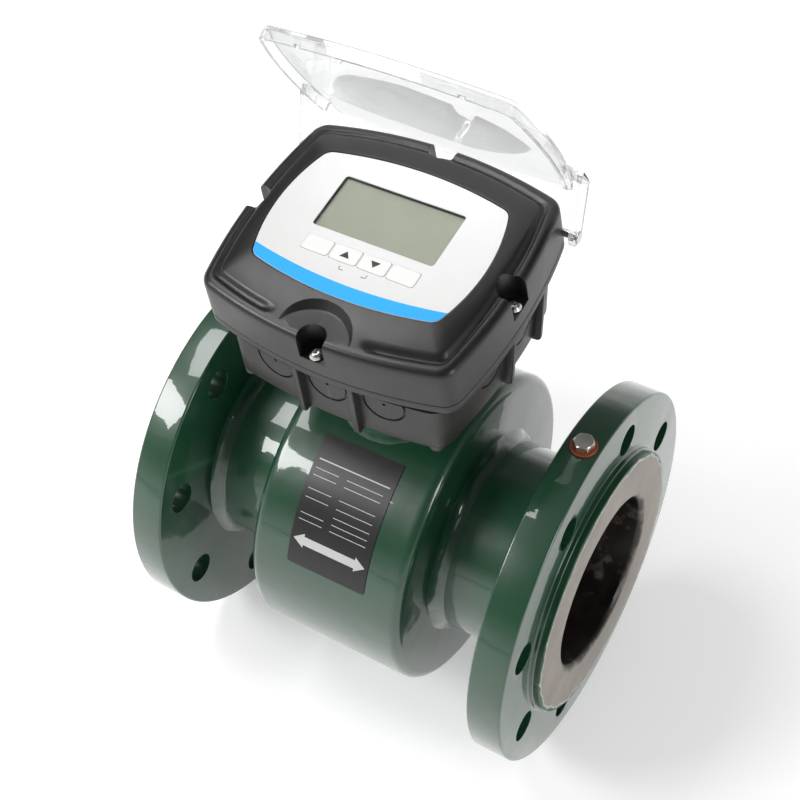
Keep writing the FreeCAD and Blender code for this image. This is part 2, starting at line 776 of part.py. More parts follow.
def knock_out_rings():
    """Rings and centre marks, run through the walls; only their skin-deep part is cut."""
    body = new_body("knock_out_rings")
    outer, inner, dot = "knock_dia / 2 + knock_groove / 2", "knock_dia / 2 - knock_groove / 2", "knock_dot_dia / 2"
    near, far = "base_half_w / 2", "base_half_w * 1.5"
    front = []
    for place in ("-knock_pitch", "0", "knock_pitch"):
        front += [circle(place, "knock_level", r) for r in (outer, inner, dot)]
    pad(body, "front_rings", front, near, far, "XZ_Plane")
    side = []
    for place in ("-knock_pitch / 2", "knock_pitch / 2"):
        side += [circle(place, "knock_level", r) for r in (outer, inner, dot)]
    pad(body, "right_rings", side, near, far, "YZ_Plane")
    pad(body, "left_rings", side, f"-({far})", f"-({near})", "YZ_Plane")
    return body


def make_enclosure_base():
    body = new_body("base_body")
    tapered(body, "base_walls", base_outline(), "0", "base_height", "base_draft_angle")
    # ribs run up the walls and end under the rim
    half = "rib_width / 2"
    back = "(base_half_d - base_wall)"
    front_ribs = [box(f"{s} * knock_pitch / 2 - {half}", "-(base_half_d + rib_proud)",
                      f"{s} * knock_pitch / 2 + {half}", f"-{back}") for s in (1, -1)]
    pad(body, "front_ribs", front_ribs, "-rib_drop", "base_height / 2")
    side_ribs = []
    for place in ("0", "side_rib_back"):
        low, high = f"{place} - {half}", f"{place} + {half}"
        inner, outer = "(base_half_w - base_bulge_w)", "(base_half_w + rib_proud)"
        side_ribs.append(box(inner, low, outer, high))
        side_ribs.append(box(f"-{outer}", low, f"-{inner}", high))
    pad(body, "side_ribs", side_ribs, "-rib_drop", "base_height / 2")
    feet = [circle(f"{x} * foot_x", f"{y} * foot_y", "foot_dia / 2") for x in (1, -1) for y in (1, -1)]
    pad(body, "feet", feet, "-foot_height", "base_floor / 2")
    # overhanging rim, parallel to the panel, with a sloping underside
    rim_top, rim_low = tilted(RIM_LEVEL), tilted(f"{RIM_LEVEL} + rim_height")
    tapered(body, "rim", lid_outline(flare=LID_FLARE), "0", "rim_height", "0", offset=rim_low)
    tapered(body, "undercut", lid_outline(flare=LID_FLARE), "0", "rim_undercut", "-rim_slope", offset=rim_low,
            down=True)
    reach = "(2 * lid_half_w)"
    trim = sketch_on(body, "trim_sketch", [box(f"-{reach}", f"-{reach}", reach, reach)], offset=rim_top)
    cut = body.newObject("PartDesign::Pocket", "trim_above_rim")
    cut.Profile = trim
    cut.Reversed = True
    bind(cut, "Length", "base_height")
    tapered(body, "hollow", base_outline("base_wall"), "base_floor", "base_height", "base_draft_angle",
            kind="Pocket")
    spot = seat_screw_spot()
    holes = [circle("0", "-base_y", "neck_dia / 2 - neck_wall")]
    holes += [circle(f"{x} * {spot}", f"{y} * {spot} - base_y", "seat_screw_dia / 2 + key_gap")
              for x in (1, -1) for y in (1, -1)]
    pocket(body, "floor_holes", holes, "-1", "base_floor + 1")
    posts = [circle(f"{x} * board_post_x", f"{y} * board_post_y", "board_post_dia / 2")
             for x in (1, -1) for y in (1, -1)]
    pad(body, "board_posts", posts, "base_floor / 2", "base_floor + board_post_height")
    tapping = sketch_on(body, "tapping_sketch", slot_circles("cover_screw_dia / 2"), offset=rim_top)
    bores = body.newObject("PartDesign::Pocket", "cover_screw_tappings")
    bores.Profile = tapping
    bind(bores, "Length", "cover_screw_bite")
    skin = boolean("Cut", "base_skin", make_base_block("skin_outer", "0"),
                   [make_base_block("skin_inner", "knock_depth")])
    grooves = boolean("Common", "knock_out_grooves", knock_out_rings(), [skin])
    return boolean("Cut", "enclosure_base", body, [grooves], BASE_FRAME)


# ---------------------------------------------------------------- display unit's cover
def slot_circles(radius):
    spots = [(SLOT_X, "0"), (f"-{SLOT_X}", "0"), ("0", SLOT_Y), ("0", f"-{SLOT_Y}")]
    return [circle(x, y, radius) for x, y in spots]


def slot_shape(radius, side):
    """A U open to one side of the cover, round at its inner end."""
    r = f"({radius})"
    far = "(lid_half_w + 10)"
    if side == "right":
        points = [(far, f"-{r}"), (far, r), (SLOT_X, r, r), (SLOT_X, f"-{r}")]
    elif side == "left":
        points = [(f"-{far}", r), (f"-{far}", f"-{r}"), (f"-{SLOT_X}", f"-{r}", r), (f"-{SLOT_X}", r)]
    elif side == "back":
        points = [(r, far), (f"-{r}", far), (f"-{r}", SLOT_Y, r), (r, SLOT_Y)]
    else:
        points = [(f"-{r}", f"-{far}"), (r, f"-{far}"), (r, f"-{SLOT_Y}", r), (f"-{r}", f"-{SLOT_Y}")]
    return outline(points)


SIDES = ("right", "left", "back", "front")


def key_places():
    return [f"{share} * key_pitch" for share in (-1.5, -0.5, 0.5, 1.5)]


def key_box(place, grow):
    return box(f"{place} - key_half_w - {grow}", f"key_row - key_half_d - {grow}",
               f"{place} + key_half_w + {grow}", f"key_row + key_half_d + {grow}")


def stud_spots():
    x = "(board_half_w - stud_margin)"
    return [(f"{s}{x}", y) for s in ("", "-") for y in ("(board_low + stud_margin)", "(board_high - stud_margin)")]


def panel_outline(grow):
    return barrel(f"panel_half_w + {grow}", f"panel_half_d + {grow}", "panel_bulge_w", "panel_bulge_d",
                  f"panel_corner + {grow}", "panel_centre")


def make_lid_block():
    """Outer form: skirt, lip and the low crown that carries the panel."""
    body = new_body("lid_block")
    tapered(body, "skirt", lid_outline(), f"-{LIP_FOOT}", f"lid_split - {LIP_FOOT}", "lid_draft_angle",
            down=True)
    pad(body, "lip", [lid_outline()], f"-{LIP_FOOT}", "-lid_lip")
    level = -number("lid_lip")
    dress(body, "lip_bevelling", "Chamfer", lambda e: at_level(e, level), "Size", "lip_bevel")
    inset = "(lip_width + channel_width)"
    loft(body, "crown", [(lid_outline(inset), "-lid_lip"), (panel_outline("panel_margin"), "crown_rise")])
    pocket(body, "panel_seat", [panel_outline("panel_gap")], "-panel_thick", "crown_rise + 1")
    slope_top = "(recess_floor_r + recess_slope)"
    rise = "(lid_lip + crown_rise)"
    profile = [("0", "-lid_lip"), ("recess_floor_r", "-lid_lip"), (slope_top, "crown_rise"),
               (f"{slope_top} + recess_slope", f"crown_rise + {rise}"), ("0", f"crown_rise + {rise}")]
    sketch = sketch_on(body, "finger_recess_sketch", [outline(profile)], role="YZ_Plane")
    bind(sketch, "AttachmentOffset.Base.x", "-recess_centre")
    recess = body.newObject("PartDesign::Groove", "finger_recess")
    recess.Profile = sketch
    recess.ReferenceAxis = (sketch, ["V_Axis"])
    return body


def make_channel():
    """Channel between lip and crown; it stops at the finger recess."""
    ring = new_body("channel_ring")
    shapes = [lid_outline("lip_width"), lid_outline("lip_width + channel_width")]
    pad(ring, "channel_pad", shapes, f"-{LIP_DEPTH}", "1")
    plug = new_body("channel_plug")
    pad(plug, "plug_pad", [circle("0", "-recess_centre", "recess_floor_r + recess_slope")],
        f"-{LIP_DEPTH} - 1", "2")
    return boolean("Cut", "channel", ring, [plug])


def make_lid_hollow():
    """The space inside, round the screw pockets and the board studs."""
    space = new_body("lid_space")
    ceiling = f"({LIP_DEPTH} + roof_thick)"
    tapered(space, "space_low", lid_outline("lid_wall"), f"-{ceiling}", f"lid_split - {ceiling} + 1",
            "lid_draft_angle", down=True)
    inset = "(lip_width + channel_width + roof_thick)"
    pad(space, "space_high", [lid_outline(inset)], f"-{ceiling}", f"-{ROOF_UNDER}")
    posts = new_body("lid_posts")
    for side in SIDES:
        pad(posts, side + "_pocket_wall", [slot_shape("slot_r + slot_wall", side)], "-lid_split - 2", "0")
    under_recess = circle("0", "-recess_centre", "recess_floor_r + recess_slope + roof_thick")
    pad(posts, "recess_bottom", [under_recess], "-(lid_lip + roof_thick)", "0")
    studs = [circle(x, y, "stud_dia / 2") for x, y in stud_spots()]
    pad(posts, "board_studs", studs, "-board_level", "0")
    return boolean("Cut", "lid_hollow", space, [posts])


def make_lid_openings():
    """Screw pockets, window, key openings and hinge bores, as one cutting body."""
    body = new_body("lid_openings")
    for side in SIDES:
        pad(body, side + "_pocket", [slot_shape("slot_r", side)], "-slot_floor", "crown_rise + 1")
    pad(body, "screw_bores", slot_circles("cover_screw_dia / 2 + key_gap"), "-lid_split - 1", "-slot_floor + 1")
    lap = "(window_lap + window_gap)"
    seat = box(f"-(window_half_w + {lap})", f"window_low - {lap}", f"window_half_w + {lap}", f"window_high + {lap}")
    pad(body, "window_seat", [seat], "-panel_thick - window_thick", "0")
    sight = box("-window_half_w", "window_low", "window_half_w", "window_high")
    pad(body, "window_opening", [sight], f"-{ROOF_UNDER} - 1", "0")
    pad(body, "key_openings", [key_box(place, "key_gap") for place in key_places()], f"-{ROOF_UNDER} - 1", "0")
    return body


def make_front_cover():
    solid = make_lid_block()
    cutters = boolean("MultiFuse", "lid_cutters", make_channel(), [make_lid_hollow(), make_lid_openings()])
    shell = boolean("Cut", "lid_shell", solid, [cutters])
    bosses = new_body("hinge_bosses")
    root = "(lid_half_w - lid_bulge_w - lid_wall)"
    face = f"({ARM_IN} - hinge_gap)"
    disc = [circle("pin_s", "pin_n", "pin_boss_dia / 2")]
    pad(bosses, "right_boss", disc, root, face, "YZ_Plane")
    pad(bosses, "left_boss", disc, f"-{face}", f"-{root}", "YZ_Plane")
    bores = new_body("hinge_bores")
    pad(bores, "bore_through", [circle("pin_s", "pin_n", "pin_dia / 2")], "-lid_half_w - 10",
        "lid_half_w + 10", "YZ_Plane")
    with_bosses = boolean("MultiFuse", "lid_with_bosses", shell, [bosses])
    return boolean("Cut", "front_cover", with_bosses, [bores], LID_FRAME)


def make_hinge_pins():
    body = new_body("hinge_pins", LID_FRAME)
    root = "(lid_half_w - lid_bulge_w - lid_wall)"
    tip = f"({ARM_IN} + arm_thick + hinge_gap)"
    shank = [circle("pin_s", "pin_n", "pin_dia / 2")]
    head = [circle("pin_s", "pin_n", "pin_head_dia / 2")]
    pad(body, "right_pin", shank, root, tip, "YZ_Plane")
    pad(body, "right_pin_head", head, tip, f"{tip} + pin_head", "YZ_Plane")
    pad(body, "left_pin", shank, f"-{tip}", f"-{root}", "YZ_Plane")
    pad(body, "left_pin_head", head, f"-{tip} - pin_head", f"-{tip}", "YZ_Plane")
    return body


def make_cover_gasket():
    body = new_body("cover_gasket", LID_FRAME)
    pad(body, "seal_pad", [lid_outline(flare=LID_FLARE), lid_outline("lid_wall")], f"-{RIM_LEVEL}", "-lid_split")
    pocket(body, "seal_holes", slot_circles("cover_screw_dia / 2 + key_gap"), f"-{RIM_LEVEL} - 1",
           "-lid_split + 1")
    return body


def make_cover_screws():
    body = new_body("cover_screws", LID_FRAME)
    pad(body, "cover_screw_shanks", slot_circles("cover_screw_dia / 2"), f"-{RIM_LEVEL} - cover_screw_bite",
        "-slot_floor")
    pad(body, "cover_screw_heads", slot_circles("cover_screw_head_dia / 2"), "-slot_floor",
        "-slot_floor + cover_screw_head")
    return body


# ---------------------------------------------------------------- panel, window, display, keys
def make_front_panel():
    body = new_body("front_panel", LID_FRAME)
    shapes = [panel_outline("0"), box("-window_half_w", "window_low", "window_half_w", "window_high")]
    shapes += [key_box(place, "key_gap") for place in key_places()]
    pad(body, "foil", shapes, "-panel_thick", "0")
    return body


def make_display_window():
    body = new_body("display_window", LID_FRAME)
    pane = box("-(window_half_w + window_lap)", "window_low - window_lap", "window_half_w + window_lap",
               "window_high + window_lap")
    pad(body, "pane", [pane], "-panel_thick - window_thick", "-panel_thick")
    return body


def make_display_module():
    body = new_body("display_module", LID_FRAME)
    lap = "display_lap"
    frame = box(f"-(window_half_w + {lap})", f"window_low - {lap}", f"window_half_w + {lap}",
                f"window_high + {lap}")
    glass = box("-(window_half_w - window_gap)", "window_low + window_gap", "window_half_w - window_gap",
                "window_high - window_gap")
    pad(body, "module_frame", [frame], "-board_level", f"-{ROOF_UNDER} - window_gap")
    pad(body, "module_glass", [glass], f"-{ROOF_UNDER} - window_gap - 1", "-panel_thick - window_thick - display_air")
    return body


def make_circuit_board():
    body = new_body("circuit_board", LID_FRAME)
    plate = box("-board_half_w", "board_low", "board_half_w", "board_high")
    pad(body, "board_plate", [plate], "-board_level - board_thick", "-board_level")
    return body


def make_key_switches():
    body = new_body("key_switches", LID_FRAME)
    half = "switch_size / 2"
    shapes = [box(f"{p} - {half}", f"key_row - {half}", f"{p} + {half}", f"key_row + {half}") for p in key_places()]
    pad(body, "switch_pads", shapes, "-board_level", "-board_level + switch_height")
    return body


def make_key(label, place):
    """Key cap with a collar under the roof and a stem over its switch."""
    body = new_body(label, LID_FRAME)
    under = f"({ROOF_UNDER} + window_gap)"
    low = "(board_level - switch_height - key_travel - key_gap)"
    pad(body, label + "_cap", [key_box(place, "0")], f"-{under}", "key_proud")
    tall = number(f"{under} + key_proud")
    dress(body, label + "_corners", "Fillet", lambda e: abs(e.BoundBox.ZLength - tall) < 1e-4, "Radius",
          "key_corner")
    collar = box(f"{place} - key_half_w", "key_row - key_half_d - key_collar_lap", f"{place} + key_half_w",
                 "key_row + key_half_d + key_collar_lap")
    pad(body, label + "_collar", [collar], f"-{under} - key_collar", f"-{under}")
    pad(body, label + "_stem", [circle(place, "key_row", "key_stem_dia / 2")], f"-{low}", f"-{under}")
    return body


# ---------------------------------------------------------------- terminal board
def make_terminal_board():
    body = new_body("terminal_board", BASE_FRAME)
    level = "base_floor + board_post_height"
    plate = box("-terminal_half_w", "-terminal_half_d", "terminal_half_w", "terminal_half_d")
    pad(body, "terminal_plate", [plate], level, f"{level} + terminal_thick")
    return body


def make_terminal_blocks():
    body = new_body("terminal_blocks", BASE_FRAME)
    level = "base_floor + board_post_height + terminal_thick"
    blocks = [box("block_inner", "block_front", "block_outer", "block_back"),
              box("-block_outer", "block_front", "-block_inner", "block_back")]
    pad(body, "block_pads", blocks, level, f"{level} + block_height")
    return body


# ---------------------------------------------------------------- transparent cover
def make_transparent_cover():
    """Clear tray on two arms, drawn closed about its hinge axis and set at its open angle."""
    body = new_body("transparent_cover", SHIELD_FRAME)
    top = "(shield_top - pin_n)"
    under = "(shield_top - shield_thick - pin_n)"
    edge = "(shield_air - lid_lip - pin_n)"

    def tray(inset):
        return barrel(f"shield_half_w - {inset}", f"shield_half_d - {inset}", "shield_bulge_w", "shield_bulge_d",
                      f"shield_corner - {inset}", "shield_centre - pin_s")

    pad(body, "tray", [tray("0")], edge, top)
    level = number(top)
    dress(body, "tray_bevelling", "Chamfer", lambda e: at_level(e, level), "Size", "shield_bevel")
    pocket(body, "tray_inside", [tray("shield_rim")], f"{edge} - 1", under)
    # behind the hinge the rim is left out, so that the tray swings clear of the cover's lip
    rim_end, far = "(shield_rim_end - pin_s)", "(2 * shield_half_w)"
    pocket(body, "rim_relief", [box(f"-{far}", rim_end, far, far)], f"{edge} - 1", under)
    half = "notch_width / 2"
    front = "(shield_centre - pin_s - shield_half_d)"
    notches = [box(f"{s} * notch_x - {half}", f"{front} - 1", f"{s} * notch_x + {half}",
                   f"{front} + shield_bulge_d + shield_rim") for s in (1, -1)]
    pocket(body, "notches", notches, f"{edge} - 1", f"{edge} + notch_depth")
    # wings reach out over the cover's edge and carry the arms down to the pins
    outer = f"({ARM_IN} + arm_thick)"
    root = "(shield_half_w - shield_bulge_w + shield_rim)"
    for side, sign in (("right", ""), ("left", "-")):
        wing = [(f"{sign}{root}", "ear_front - arm_half"), (f"{sign}{outer}", "ear_front"),
                (f"{sign}{outer}", "ear_back"), (f"{sign}{root}", "ear_back + arm_half / 2")]
        if side == "left":
            wing = wing[::-1]
        pad(body, side + "_wing", [outline(wing)], under, top)
    # the arm is a strip at 45 degrees from the pin up to the wing
    step = "(arm_half * cos(45 deg))"
    arm = [(f"-{step}", f"-{step}", "arm_half"), (step, step), (f"2 * {step} - {top}", top), ("ear_front", top),
           ("ear_front", f"-ear_front - 2 * {step}")]
    low_x, high_x = ARM_IN, outer
    pad(body, "right_arm", [outline(arm)], low_x, high_x, "YZ_Plane")
    pad(body, "left_arm", [outline(arm)], f"-{high_x}", f"-{low_x}", "YZ_Plane")
    pocket(body, "pin_holes", [circle("0", "0", "pin_dia / 2 + pin_fit")], f"-{high_x} - 1", f"{high_x} + 1",
           "YZ_Plane")
    return body


# ---------------------------------------------------------------- build, check and write
KEYS = ("key_escape", "key_up", "key_down", "key_enter")

parts = [
    make_measuring_tube(),
    make_liner(),
    make_liner_face("liner_face_outlet"),
    make_liner_face("liner_face_inlet", TURNED_ROUND),
    make_flange("outlet_flange", earth=True),
    make_flange("inlet_flange", TURNED_ROUND),
    make_weld_beads(),
    make_housing_shell(),
    make_housing_cap("housing_cap_outlet"),
    make_housing_cap("housing_cap_inlet", TURNED_ROUND),
    make_coil("coil_upper"),
    make_coil("coil_lower", UPSIDE_DOWN),
    make_pole_shoe("pole_shoe_upper"),
    make_pole_shoe("pole_shoe_lower", UPSIDE_DOWN),
    make_yoke(),
    make_electrode("electrode_front"),
    make_electrode("electrode_back", TURNED_ROUND),
    make_electrode_bushes(),
    make_type_plate(),
    make_earth_washer(),
    make_earth_bolt(),
    make_pedestal_neck(),
    make_pedestal_seat(),
    make_pedestal_gasket(),
    make_base_screws(),
    make_enclosure_base(),
    make_cover_gasket(),
    make_front_cover(),
    make_cover_screws(),
    make_hinge_pins(),
    make_front_panel(),
    make_display_window(),
    make_display_module(),
    make_circuit_board(),
    make_key_switches(),
    make_terminal_board(),
    make_terminal_blocks(),
    make_transparent_cover(),
]
parts += [make_key(label, place) for label, place in zip(KEYS, key_places())]

doc.recompute()

CUTS = ("PartDesign::Pocket", "PartDesign::Groove", "PartDesign::SubtractiveLoft")
for item in doc.Objects:
    if {"Invalid", "Error"} & set(item.State):
        raise RuntimeError(f"{item.Label}: {item.State}")
    if item.TypeId in CUTS and item.Shape.Volume > item.BaseFeature.Shape.Volume - 0.01:
        raise RuntimeError(f"{item.Label} cuts nothing")
for item in parts:
    if item.Shape.isNull() or not item.Shape.isValid():
        raise RuntimeError(f"{item.Label}: shape is null or not valid")

os.makedirs("parts", exist_ok=True)
for item in parts:
    item.Shape.exportStep(f"parts/{item.Label}.step")
print(f"{len(parts)} parts written")
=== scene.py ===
import json
import math

import bmesh
import bpy
from mathutils import Matrix, Vector, noise


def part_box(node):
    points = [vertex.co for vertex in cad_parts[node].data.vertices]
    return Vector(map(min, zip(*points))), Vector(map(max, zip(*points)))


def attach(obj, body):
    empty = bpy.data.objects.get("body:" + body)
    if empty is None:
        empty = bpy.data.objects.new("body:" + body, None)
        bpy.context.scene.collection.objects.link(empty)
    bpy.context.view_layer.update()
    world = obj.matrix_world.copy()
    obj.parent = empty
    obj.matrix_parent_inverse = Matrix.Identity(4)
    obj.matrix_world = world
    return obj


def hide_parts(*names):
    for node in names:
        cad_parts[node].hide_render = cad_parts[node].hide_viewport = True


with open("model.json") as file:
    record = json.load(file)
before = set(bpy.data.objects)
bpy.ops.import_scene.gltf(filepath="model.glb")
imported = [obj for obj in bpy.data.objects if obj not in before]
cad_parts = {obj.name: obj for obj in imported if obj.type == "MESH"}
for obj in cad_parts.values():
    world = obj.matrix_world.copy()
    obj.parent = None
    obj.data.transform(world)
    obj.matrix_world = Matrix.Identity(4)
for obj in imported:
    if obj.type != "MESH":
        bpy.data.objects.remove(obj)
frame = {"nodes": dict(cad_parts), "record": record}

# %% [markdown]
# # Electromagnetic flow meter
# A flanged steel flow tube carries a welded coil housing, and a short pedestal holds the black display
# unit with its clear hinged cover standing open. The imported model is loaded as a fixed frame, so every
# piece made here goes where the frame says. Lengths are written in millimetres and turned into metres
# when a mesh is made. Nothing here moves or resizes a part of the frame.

MM = 0.001
scene = bpy.context.scene
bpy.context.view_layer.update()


def node_box(node):
    """Lowest and highest corner of a frame part, in millimetres."""
    low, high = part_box(node)
    return Vector(low) / MM, Vector(high) / MM


# %% [markdown]
# ## The display unit's own frame
# The display unit's panel leans back by a few degrees, so its pieces are drawn flat, with `s` running
# up the panel and `n` standing out of it, and then placed. The lean is read from the direction in which
# a key is pressed, and the panel's place from the panel's box, so the drawing follows the frame.

# %% Lean and place of the panel
key_joint = next(j for j in frame["record"]["behaviour"]["joints"] if j["name"] == "key_up_press")
LEAN = math.atan2(key_joint["axis"][1], -key_joint["axis"][2])
PANEL = {"half_w": 58.4, "half_d": 42.5, "bulge_w": 6.9, "bulge_d": 6.5, "corner": 6.5, "centre": 1.1}
panel_low, panel_high = node_box("front_panel")
LID_Y = panel_low.y - (PANEL["centre"] - PANEL["half_d"]) * math.cos(LEAN)
LID_Z = panel_high.z - (PANEL["centre"] + PANEL["half_d"]) * math.sin(LEAN)


def on_lid(x, s, n):
    """A point of the display unit's frame in the world, in millimetres."""
    return Vector((x, LID_Y + s * math.cos(LEAN) - n * math.sin(LEAN),
                   LID_Z + s * math.sin(LEAN) + n * math.cos(LEAN)))


hinge = next(j for j in frame["record"]["behaviour"]["joints"] if j["name"] == "cover_hinge")
PIN_Y, PIN_Z = hinge["pos_m"][1] / MM, hinge["pos_m"][2] / MM
OPEN_ANGLE = math.radians(66.4)


def on_cover(x, s, n):
    """A point of the clear cover, drawn closed about its hinge pins, where the open cover holds it."""
    turn = LEAN - OPEN_ANGLE
    return Vector((x, PIN_Y + s * math.cos(turn) - n * math.sin(turn),
                   PIN_Z + s * math.sin(turn) + n * math.cos(turn)))


def on_world(x, y, z):
    return Vector((x, y, z))


print(f"lean {math.degrees(LEAN):.2f} deg, panel origin y {LID_Y:.2f} z {LID_Z:.2f} mm")

# %% [markdown]
# ## Camera
# The camera stands in front of the outlet side and looks down on the meter, slightly rolled. It is built
# from its place, its two viewing angles and its roll. The small lens shift keeps the meter in the frame
# without turning the view.

# %% Camera
CAMERA_PLACE = (0.3162, -0.4567, 0.7253)
AZIMUTH, ELEVATION, ROLL = math.radians(37.86), math.radians(47.94), math.radians(-7.70)
camera_data = bpy.data.cameras.new("camera")
camera_data.sensor_width = 36.0
camera_data.lens = 69.77
camera_data.shift_x, camera_data.shift_y = 0.0741, -0.0258
camera_data.clip_start, camera_data.clip_end = 0.01, 20.0
camera = bpy.data.objects.new("camera", camera_data)
scene.collection.objects.link(camera)
facing = Matrix.Rotation(AZIMUTH, 4, "Z") @ Matrix.Rotation(math.pi / 2 - ELEVATION, 4, "X")
camera.matrix_world = Matrix.Translation(CAMERA_PLACE) @ facing @ Matrix.Rotation(ROLL, 4, "Z")
scene.camera = camera
scene.view_settings.view_transform = "Standard"
print("camera", [round(v, 3) for v in camera.matrix_world.translation])

# %% [markdown]
# ## Helpers for finishes
# Each finish is a node material. A short helper adds a node and sets its inputs, so that each material
# reads as a list of what it is made of. Effects that several finishes share are node groups with named
# inputs and outputs.

# %% Node helpers


def add_node(tree, kind, **settings):
    node = tree.nodes.new(kind)
    for name, value in settings.items():
        if name in node.inputs:
            node.inputs[name].default_value = value
        else:
            setattr(node, name, value)
    return node


def new_finish(name, slot):
    """A material with an empty Principled shader; the slot says which finish of the record it is."""
    material = bpy.data.materials.new(name)
    material.use_nodes = True
    material["slot"] = slot
    tree = material.node_tree
    return material, tree, tree.nodes["Principled BSDF"]


def blend_colours(tree, factor, first, second):
    """Mix two colours or colour outputs by a mask."""
    node = add_node(tree, "ShaderNodeMix", data_type="RGBA")
    for socket, value in ((node.inputs[6], first), (node.inputs[7], second)):
        if isinstance(value, tuple):
            socket.default_value = (*value, 1.0)
        else:
            tree.links.new(value, socket)
    tree.links.new(factor, node.inputs[0])
    return node.outputs[2]


def remap(tree, value, low, high, to_low, to_high):
    node = add_node(tree, "ShaderNodeMapRange")
    for index, number in enumerate((low, high, to_low, to_high), start=1):
        node.inputs[index].default_value = number
    tree.links.new(value, node.inputs[0])
    return node.outputs[0]


def bump(tree, shader, height, distance, strength=1.0):
    node = add_node(tree, "ShaderNodeBump", Strength=strength, Distance=distance)
    tree.links.new(height, node.inputs["Height"])
    tree.links.new(node.outputs[0], shader.inputs["Normal"])
    return node


print("node helpers ready")

# %% [markdown]
# ## Shared effects
# Five effects appear on several finishes. `skin` is the slow waviness of a brushed or sprayed gloss coat,
# and `brush` the fine streaks that run along the pipe in it.
# `grain` is the fine spark-eroded texture of moulded plastic. `smudges` is a patchy mask for handled or
# dusty places, used for roughness and colour. The edge group finds convex edges, on which the finishes paint
# a lighter colour as a painted highlight. They are groups so that each finish sets its own scale and
# strength.

# %% Node groups


def new_group(name, inputs, outputs):
    group = bpy.data.node_groups.new(name, "ShaderNodeTree")
    for label, value in inputs.items():
        socket = group.interface.new_socket(label, in_out="INPUT", socket_type="NodeSocketFloat")
        socket.default_value = value
    for label in outputs:
        group.interface.new_socket(label, in_out="OUTPUT", socket_type="NodeSocketFloat")
    start = group.nodes.new("NodeGroupInput")
    end = group.nodes.new("NodeGroupOutput")
    return group, start, end


def make_noise_group(name, scale, detail, roughness, stretch=(1, 1, 1)):
    group, start, end = new_group(name, {"Scale": scale}, ["Value"])
    place = add_node(group, "ShaderNodeTexCoord")
    warp = add_node(group, "ShaderNodeMapping", Scale=stretch)
    pattern = add_node(group, "ShaderNodeTexNoise", Detail=detail, Roughness=roughness)
    group.links.new(place.outputs["Object"], warp.inputs["Vector"])
    group.links.new(warp.outputs[0], pattern.inputs["Vector"])
    group.links.new(start.outputs["Scale"], pattern.inputs["Scale"])
    group.links.new(pattern.outputs[0], end.inputs["Value"])
    return group


# The edge group: a Pointiness mask on which finishes paint a lighter colour, a painted highlight on convex
# edges.
def make_edge_highlight_group():
    group, start, end = new_group("painted_edge_highlight", {"Low": 0.53, "High": 0.62}, ["Mask"])
    shape = add_node(group, "ShaderNodeNewGeometry")
    span = add_node(group, "ShaderNodeMapRange")
    group.links.new(shape.outputs["Pointiness"], span.inputs[0])
    group.links.new(start.outputs["Low"], span.inputs[1])
    group.links.new(start.outputs["High"], span.inputs[2])
    group.links.new(span.outputs[0], end.inputs["Mask"])
    return group


GROUPS = {
    "skin": make_noise_group("skin", 55.0, 2.0, 0.45),
    "brush": make_noise_group("brush", 260.0, 3.0, 0.6, (0.06, 1.0, 1.0)),
    "grain": make_noise_group("grain", 1500.0, 2.0, 0.6),
    "smudges": make_noise_group("smudges", 24.0, 5.0, 0.62),
    "painted_edge_highlight": make_edge_highlight_group(),
}


def effect(tree, name, **values):
    """Place a shared effect in a material and return its output."""
    node = tree.nodes.new("ShaderNodeGroup")
    node.node_tree = GROUPS[name]
    for label, value in values.items():
        node.inputs[label].default_value = value
    return node.outputs[0]


print("effects:", ", ".join(GROUPS))

# %% [markdown]
# ## Painted steel
# The flow tube, flanges and coil housing carry one coat of dark green gloss enamel put on by brush. It
# pools and runs, so its reflections waver, and it is slightly darker where it lies thick. A clear coat
# over a softer base gives the sharp reflection, and two layers of noise bend it.

# %% Green enamel


def make_enamel():
    material, tree, shader = new_finish("green_enamel", "flange_paint")
    shader.inputs["Roughness"].default_value = 0.34
    shader.inputs["Coat Weight"].default_value = 1.0
    shader.inputs["Coat Roughness"].default_value = 0.035
    patches = effect(tree, "smudges", Scale=14.0)
    thick = remap(tree, patches, 0.3, 0.7, 0, 1)
    green = blend_colours(tree, thick, (0.007, 0.052, 0.022), (0.010, 0.070, 0.031))
    # A lighter green is painted on convex edges: a painted highlight.
    edges = effect(tree, "painted_edge_highlight", Low=0.54, High=0.66)
    tree.links.new(blend_colours(tree, edges, green, (0.028, 0.125, 0.062)), shader.inputs["Base Color"])
    waves = add_node(tree, "ShaderNodeMath", operation="ADD")
    tree.links.new(effect(tree, "skin", Scale=38.0), waves.inputs[0])
    tree.links.new(remap(tree, effect(tree, "brush", Scale=150.0), 0, 1, 0, 0.12), waves.inputs[1])
    node = bump(tree, shader, waves.outputs[0], 0.0009, 0.55)
    tree.links.new(node.outputs[0], shader.inputs["Coat Normal"])
    return material


ENAMEL = make_enamel()
print("made", ENAMEL.name)

# %% [markdown]
# ## Moulded black plastic
# The display unit is moulded in black glass-filled plastic with a fine satin texture. It is not quite
# neutral, and handling leaves slightly shinier patches. Convex edges are painted a touch lighter, a painted
# highlight. The housing below is a little greyer and duller than the cover.

# %% Black plastics


